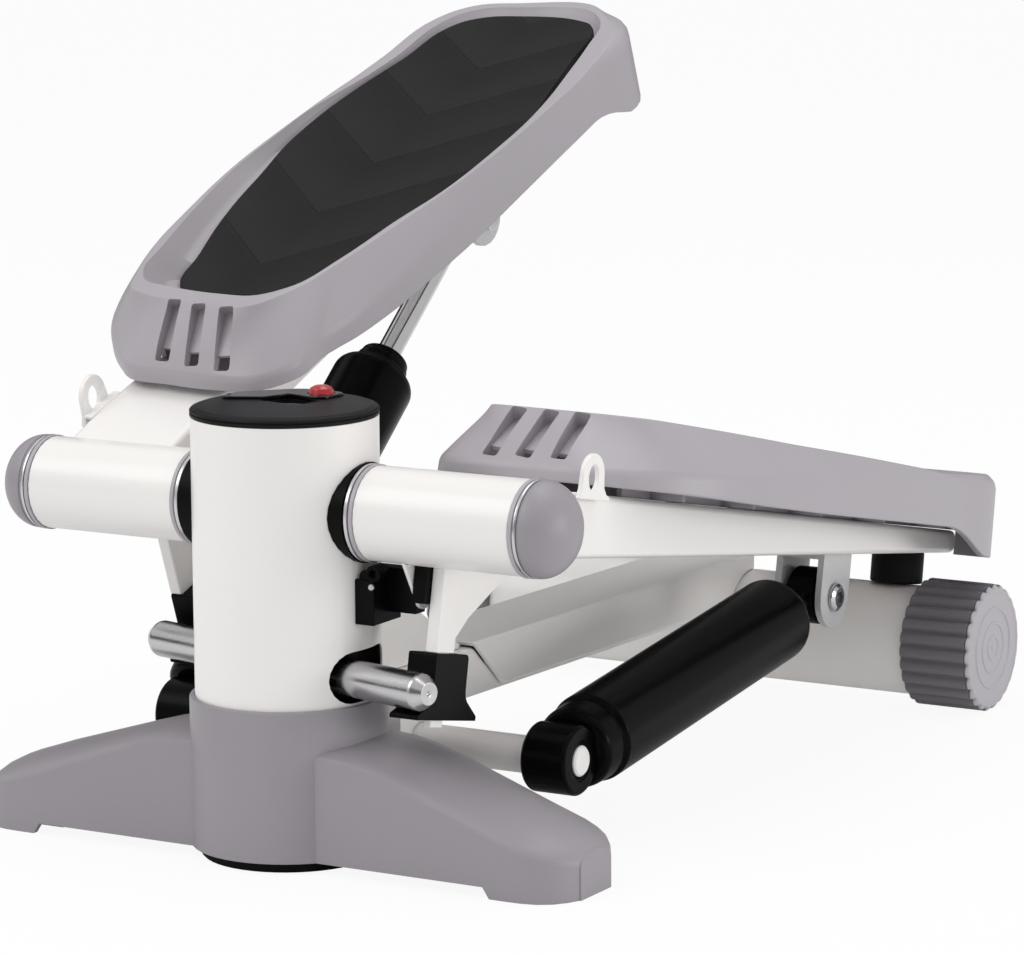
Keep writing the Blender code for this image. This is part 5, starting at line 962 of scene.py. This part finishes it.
def make_damper(side, name):
    """The oil cylinder with its rolled ends and crimp, the foot eye, and the chromed rod with its eye."""
    foot = Vector(joint_named(name + "_cylinder_swing")["pos_m"])
    way = Vector(joint_named(name + "_rod_stroke")["axis"]).normalized()
    bolt_low, bolt_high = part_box("fork_bolt_" + name)
    eye = (bolt_low + bolt_high) / 2
    eye.x = foot.x
    length = (eye - foot).length / MM
    head = length - ROD_RUN
    rod = (
        (0.0, length - 9.0), (5.5, length - 9.0), (5.5, head), (16.2, head, 0.4), (16.2, head - 8.0, 0.4),
        (0.0, head - 8.0),
    )
    across = sideways(side)
    cylinder = ("cylinder_" + name, "damper_cylinder_" + name, "black_plastic")
    piston = ("piston_" + name, "damper_rod_" + name, "chrome")
    turned_piece("oil_cylinder_" + name, OIL_CYLINDER, foot, way, BLACK_SATIN, *cylinder, 72)
    turned_piece("foot_eye_" + name, FOOT_EYE, foot, across, BLACK_SATIN, *cylinder, 72)
    turned_piece("piston_rod_" + name, rod, foot, way, CHROME, *piston, 48)
    turned_piece("rod_eye_" + name, ROD_EYE, eye, across, BLACK_SATIN, *piston, 64)


ROD_SWING_AT_REST = math.radians(-14.4)


def make_rocker_rod():
    """The brushed rod, with a turned cone and a centre hole at each end."""
    low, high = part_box("rocker_rod")
    way = (math.cos(ROD_SWING_AT_REST), math.sin(ROD_SWING_AT_REST), 0.0)
    other_end = [(point[0], -point[1], *point[2:]) for point in reversed(PUSH_ROD_END)]
    turned_piece(
        "push_rod", (*PUSH_ROD_END, *other_end), (0, 0, (low.z + high.z) / 2), way, BRUSHED_ROD,
        "rocker", "rocker_rod", "chrome", 64,
    )


def upright_cone(sides, low_radius, high_radius, depth, place):
    """A closed cone of a few sides, laid in a turned frame."""
    form = bmesh.new()
    bmesh.ops.create_cone(
        form, cap_ends=True, segments=sides, radius1=low_radius, radius2=high_radius, depth=depth,
    )
    bmesh.ops.transform(form, matrix=place, verts=form.verts)
    return form


def make_fork_bolt(side, name):
    """A button-headed bolt with a hexagon socket, and the nut on its other end."""
    low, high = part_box("fork_bolt_" + name)
    spot = (low + high) / 2
    across = sideways(side)
    bolt = turned_piece(
        "socket_bolt_" + name, SOCKET_BOLT, (0, spot.y, spot.z), across, BOLT_CHROME,
        "pedal_" + name, "fork_bolt_" + name, "chrome", 48,
    )
    place = Matrix.Translation((side * 104.2 * MM, spot.y, spot.z)) @ turn_onto(across)
    socket = upright_cone(6, 2.6 * MM, 2.9 * MM, 3.4 * MM, place)
    carved(bolt, [to_piece("socket_cutter", socket)])
    crisp = bolt.modifiers.new("crisp", "EDGE_SPLIT")
    crisp.split_angle = math.radians(35)
    crisp.use_edge_sharp = False


LENS_CORNERS = (
    (-30, -1, 3), (8.5, 18.5, 3), (9.5, 32.5, 5), (-13, 33, 12), (-33, 11, 10),
)
WINDOW_LINE = [Vector(corner) for corner in ((-15.5, 4.5), (5.5, 0.5), (8.5, 14.0), (-10.0, 18.5))]
BUTTON_SPOT = Vector((1.0, 26.0, 0.0)) * MM
BUTTON_SEAT = 0.1841
ABOVE_CAP = 190.0
WINDOW_FLOOR = 182.6
POCKET_FLOOR = 183.2
LENS_GAP = 0.35


def lens_line():
    """The gloss window's outline on the cap, in millimetres, from corners of (x, y, radius)."""
    corners = [Vector(corner[:2]) for corner in LENS_CORNERS]
    points = []
    for i, corner in enumerate(LENS_CORNERS):
        after = corners[(i + 1) % len(corners)]
        points += corner_bend(corners[i - 1], corners[i], after, corner[2], 8)
    return points


def prism(name, outline, low, high, *piece):
    """An outline raised from one height to another, all in millimetres."""
    rings = [[Vector((p.x * MM, p.y * MM, h * MM)) for p in outline] for h in (low, high)]
    return to_piece(name, ring_stack(rings)[0], *piece)


def display_cutters(button_radius):
    """The cutters for the button's hole and for the sunken window."""
    middle = Matrix.Translation(BUTTON_SPOT + UP * 0.185)
    hole = upright_cone(48, button_radius, button_radius, 30.0 * MM, middle)
    return [
        to_piece("button_cutter", hole),
        prism("window_cutter", WINDOW_LINE, WINDOW_FLOOR, ABOVE_CAP),
    ]


def make_display():
    """The round cap with its turned grooves, the gloss window let into it, and the red button."""
    cap = turned_piece(
        "display_cap_form", DISPLAY_CAP, (0, 0, 0), UP, CAP_PLASTIC,
        "frame", "display_cap", "black_plastic", 128,
    )
    pocket = prism("pocket_cutter", inset_line(lens_line(), -LENS_GAP), POCKET_FLOOR, ABOVE_CAP)
    carved(cap, [pocket] + display_cutters(5.7 * MM))
    keep_crisp(cap, 0.25 * MM)
    lens = (BLACK_GLOSS, "frame", "display_lens", "black_gloss")
    window = prism("display_window", lens_line(), 183.3, 185.3, *lens)
    carved(window, display_cutters(5.6 * MM))
    keep_crisp(window, 0.5 * MM, 3)
    prism("display_glass", WINDOW_LINE, 182.2, 183.0, *lens)
    turned_piece(
        "red_button", RED_BUTTON, BUTTON_SPOT + UP * BUTTON_SEAT, UP, RED_PLASTIC,
        "button", "reset_button", "red_plastic", 64,
    )


def softened(node, name, finish, width, body, slot):
    """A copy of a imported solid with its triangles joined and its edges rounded."""
    form = bmesh.new()
    form.from_mesh(frame["nodes"][node].data)
    bmesh.ops.remove_doubles(form, verts=form.verts, dist=0.00001)
    bmesh.ops.dissolve_limit(
        form, angle_limit=math.radians(0.6), verts=form.verts, edges=form.edges,
        use_dissolve_boundaries=False,
    )
    corner = math.radians(32)
    sharp = [e for e in form.edges if len(e.link_faces) == 2 and e.calc_face_angle(0.0) > corner]
    rounded_edges(form, sharp, width * MM, 3)
    keep_crisp(to_piece(name, form, finish, body, node, slot))


EAR_PLACE = 38.6
EAR_HEIGHT = {1: 22.8, -1: 20.4}
EAR_REACH = {1: 116.4, -1: 114.2}
EAR_THICKNESS = 2.2
EAR_HEEL_FLARE = ((-10.6, -9.6), (-9, -5.4), (-8.6, 0))
EAR_TOE_FLARE = ((8.6, 0), (9.4, -4.4), (11.6, -7), (14.2, -7.6), (14.2, -9.6))


def make_hook(side, name, angle):
    """The cord ear: a leaf with a tall hole that flares into a thin foot on the arm's edge."""
    reach = EAR_REACH[side]
    height = EAR_HEIGHT[side]
    ear = ("pedal_" + name, "band_hook_" + name, "white_paint")

    def ring(x, line):
        return [on_arm(side, angle, x, EAR_PLACE + v, height + w, 0.0) for v, w in line]

    turns = [math.pi - math.pi * k / 24 for k in range(1, 24)]
    arch = [(8.6 * math.cos(turn), 9.0 * math.sin(turn)) for turn in turns]
    outline = [*EAR_HEEL_FLARE, *arch, *EAR_TOE_FLARE]
    form = ring_stack([ring(x, outline) for x in (reach, reach + EAR_THICKNESS)])[0]
    leaf = to_piece("cord_ear_" + name, form, WHITE_PAINT, *ear)
    turns = [math.tau * k / 32 for k in range(32)]
    hole = [(4.1 * math.cos(turn), 5.2 * math.sin(turn) - 0.7) for turn in turns]
    cutter = ring_stack([ring(x, hole) for x in (reach - 6.0, reach + 6.0)])[0]
    carved(leaf, [to_piece("ear_cutter", cutter)])
    keep_crisp(leaf, 0.5 * MM, 3)
    form = bmesh.new()
    span_v = (EAR_PLACE - 9.6, EAR_PLACE + 13.6)
    box_on_arm(form, side, angle, (110.6, reach + 0.6), span_v, 14.2, lambda v: 15.7, 0.0)
    keep_crisp(to_piece("ear_foot_" + name, form, WHITE_PAINT, *ear), 0.5 * MM, 3)


def make_counter_screws():
    """The lug with its eyelet on top of the sensor block, and the screw below it."""
    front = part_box("sensor_block")[0].y
    for label, x, z, radius, length, finish, hole, out in (
        ("counter_lug", 46.0, 120.3, 3.3, 7.0, BLACK_PLASTIC, 1.5, 0.5),
        ("counter_screw", 45.0, 114.8, 1.4, 1.6, STEEL, 0.0, 0.7),
    ):
        profile = (
            (hole, length - out), (hole, -out), (radius - 0.4, -out, 0.2), (radius, 0.4 - out, 0.3),
            (radius, length - out), (hole, length - out),
        )
        turned_piece(
            label, profile, (x * MM, front, z * MM), (0, 1, 0), finish,
            "frame", "sensor_block", "black_plastic", 32,
        )


# Rows of node, piece, finish, rounding of the edges in millimetres and slot.

PAIRED_BEAMS = (
    ("arm_beam", "pressed_arm", WHITE_PAINT, 1.2, "white_paint"),
    ("lever_leg", "lever_bar", WHITE_PAINT, 1.1, "white_paint"),
    ("lever_gusset", "lever_web", WHITE_PAINT, 0.6, "white_paint"),
    ("damper_fork", "rod_fork", FORK_PLATING, 0.6, "white_paint"),
    ("rocker_shoe", "push_shoe", BLACK_PLASTIC, 0.5, "black_plastic"),
    ("bumper", "stop_buffer", BLACK_RUBBER, 0.9, "black_rubber"),
    ("foot_pad", "foot_block", BLACK_RUBBER, 0.5, "black_rubber"),
)
SINGLE_BEAMS = (
    ("spine_channel", "spine_cover_channel", WHITE_PAINT, 0.8, "white_paint"),
    ("spine_tube", "spine_square_tube", WHITE_PAINT, 1.6, "white_paint"),
    ("column_strut", "column_web", WHITE_PAINT, 0.8, "white_paint"),
    ("damper_bracket", "bar_bracket", WHITE_PAINT, 0.8, "white_paint"),
    ("sensor_tab", "counter_tab", WHITE_PAINT, 0.3, "white_paint"),
    ("magnet_holder", "counter_magnet", BLACK_PLASTIC, 0.5, "black_plastic"),
    ("sensor_block", "counter_block", BLACK_PLASTIC, 0.5, "black_plastic"),
    ("base_crossbar", "base_inner_bar", STEEL, 0.8, "steel"),
)


def make_beams():
    """Welded and bent steel, and the moulded blocks, with the rounded edges of the real pieces."""
    bodies = frame["record"]["behaviour"]["bodies"]
    body_of = {node: body for body, nodes in bodies.items() for node in nodes}
    ends = [(stem, "_" + name) for stem in PAIRED_BEAMS for side, name, angle in SIDES]
    for (stem, label, finish, width, slot), end in ends + [(row, "") for row in SINGLE_BEAMS]:
        softened(stem + end, label + end, finish, width, body_of[stem + end], slot)


# Studio

WHITE = (1.0, 1.0, 1.0, 1.0)
MIDDLE = (0.0, 0.1, 0.12)
AMBIENT_LIGHT = 0.70
FLOOR_GLOW_SEEN = 0.92
FLOOR_GLOW_BOUNCED = 0.30
CARDS = (
    ("front_card", (1.7, -2.7, 0.75), MIDDLE, (1.5, 0.9)),
    ("back_card", (-1.5, 2.6, 0.95), (0.0, 0.0, 0.18), (2.2, 0.9)),
    ("left_card", (-2.3, -1.1, 0.42), MIDDLE, (1.3, 0.26)),
)
LAMPS = (
    ("key_lamp", (-1.0, -1.3, 1.8), MIDDLE, (1.4, 1.4), 16.0),
    ("side_lamp", (1.7, 0.4, 0.34), (0.02, 0.2, 0.06), (0.9, 0.4), 6.5),
    ("top_lamp", (0.2, 0.5, 2.1), MIDDLE, (1.6, 1.2), 12.0),
)


def aim(obj, location, target):
    """Puts an object at a place, with its -Z axis towards a target."""
    obj.location = location
    obj.rotation_euler = (Vector(target) - Vector(location)).to_track_quat("-Z", "Y").to_euler()


def make_lamp(name, location, target, size, power):
    """A rectangular lamp."""
    lamp = bpy.data.lights.new(name, "AREA")
    lamp.shape = "RECTANGLE"
    lamp.size, lamp.size_y = size
    lamp.energy = power
    holder = bpy.data.objects.new(name, lamp)
    aim(holder, location, target)
    bpy.context.scene.collection.objects.link(holder)


def camera_ray_mask(tree):
    """1 for camera and glass rays, which see the white of the studio."""
    path = add_node(tree, "LightPath")
    return math_node(tree, "MAXIMUM", path.outputs["Is Camera Ray"], path.outputs["Is Transmission Ray"])


def fibrous(name, scale, low, high, rough, specular):
    """A dull grey material that wavers between two tones."""
    material = bpy.data.materials.new(name)
    material.use_nodes = True
    tree = material.node_tree
    shader = tree.nodes["Principled BSDF"]
    preset(shader, Roughness=rough, Specular_IOR_Level=specular)
    place = add_node(tree, "TexCoord")
    tone = add_node(tree, "Mix", data_type="RGBA")
    preset(tone, A=(low, low, low, 1.0), B=(high, high, high, 1.0))
    wire(tree, tone, Factor=noise_node(tree, place.outputs["Object"], scale, 3.0))
    wire(tree, shader, Base_Color=tone.outputs["Result"])
    return material


def staged_sheet(name, half_size, material):
    """A flat sheet of the studio, which is no part of the machine."""
    form = bmesh.new()
    bmesh.ops.create_grid(form, x_segments=1, y_segments=1, size=1.0)
    bmesh.ops.scale(form, verts=form.verts, vec=(*half_size, 1.0))
    sheet = to_piece(name, form, material, smooth=False)
    return sheet


def make_floor():
    """Pale paper that glows a little where the camera sees it and in the light that it sends back."""
    paper = fibrous("floor_paper", 60.0, 0.83, 0.86, rough=0.9, specular=0.1)
    tree = paper.node_tree
    glow = add_node(tree, "Emission")
    preset(glow, Color=WHITE)
    mix = add_node(tree, "MixShader")
    path = add_node(tree, "LightPath")
    bounced = times(tree, path.outputs["Is Diffuse Ray"], FLOOR_GLOW_BOUNCED)
    seen = times(tree, camera_ray_mask(tree), FLOOR_GLOW_SEEN)
    tree.links.new(math_node(tree, "MAXIMUM", seen, bounced), mix.inputs[0])
    tree.links.new(tree.nodes["Principled BSDF"].outputs[0], mix.inputs[1])
    tree.links.new(glow.outputs[0], mix.inputs[2])
    wire(tree, tree.nodes["Material Output"], Surface=mix.outputs[0])
    staged_sheet("floor", (6.0, 6.0), paper)


def make_world():
    """White behind everything, and a weaker white as the light from all sides."""
    world = bpy.data.worlds.new("studio")
    bpy.context.scene.world = world
    world.use_nodes = True
    tree = world.node_tree
    tree.nodes.clear()
    mix = add_node(tree, "MixShader")
    tree.links.new(camera_ray_mask(tree), mix.inputs[0])
    for index, strength in ((1, AMBIENT_LIGHT), (2, 1.0)):
        light = add_node(tree, "Background")
        preset(light, Color=WHITE, Strength=strength)
        tree.links.new(light.outputs[0], mix.inputs[index])
    wire(tree, add_node(tree, "OutputWorld"), Surface=mix.outputs[0])


def make_studio():
    """The world, the floor, three dark cards that only glossy surfaces see, and the lamps."""
    make_world()
    make_floor()
    felt = fibrous("card_felt", 30.0, 0.02, 0.04, rough=1.0, specular=0.0)
    for name, location, target, half_size in CARDS:
        card = staged_sheet(name, half_size, felt)
        aim(card, location, target)
        card.visible_camera = False
        card.visible_diffuse = False
        card.visible_shadow = False
        card.visible_transmission = False
    for row in LAMPS:
        make_lamp(*row)


CAMERA_PLACE = (0.9772, -1.4972, 0.4599)
CAMERA_AZIMUTH = math.radians(30.213)
CAMERA_PITCH = math.radians(9.734)
CAMERA_ROLL = math.radians(-0.405)


def make_camera():
    """The photo's camera. Azimuth turns from +Y towards -X, and pitch looks down."""
    sine, cosine = math.sin(CAMERA_AZIMUTH), math.cos(CAMERA_AZIMUTH)
    level_share = math.cos(CAMERA_PITCH)
    ahead = Vector((-sine * level_share, cosine * level_share, -math.sin(CAMERA_PITCH)))
    level = Vector((cosine, sine, 0.0))
    upright = level.cross(ahead)
    across = level * math.cos(CAMERA_ROLL) + upright * math.sin(CAMERA_ROLL)
    upward = upright * math.cos(CAMERA_ROLL) - level * math.sin(CAMERA_ROLL)
    lens = bpy.data.cameras.new("camera")
    lens.lens = 158.45
    lens.sensor_width = 36.0
    lens.clip_end = 50.0
    camera = bpy.data.objects.new("camera", lens)
    turn = Matrix((across, upward, -ahead)).transposed().to_4x4()
    camera.matrix_world = Matrix.Translation(CAMERA_PLACE) @ turn
    bpy.context.scene.collection.objects.link(camera)
    bpy.context.scene.camera = camera


make_camera()
make_studio()
dress_solids()
for side, name, angle in SIDES:
    make_pedal_shell(side, name, angle)
    make_pedal_mat(side, name, angle)
    make_sleeve_ends(side, name)
    make_rear_cap(side, name)
    make_damper(side, name)
    make_fork_bolt(side, name)
    make_hook(side, name, angle)
make_rocker_rod()
make_display()
make_counter_screws()
make_beams()
bpy.context.scene.view_settings.view_transform = "Standard"
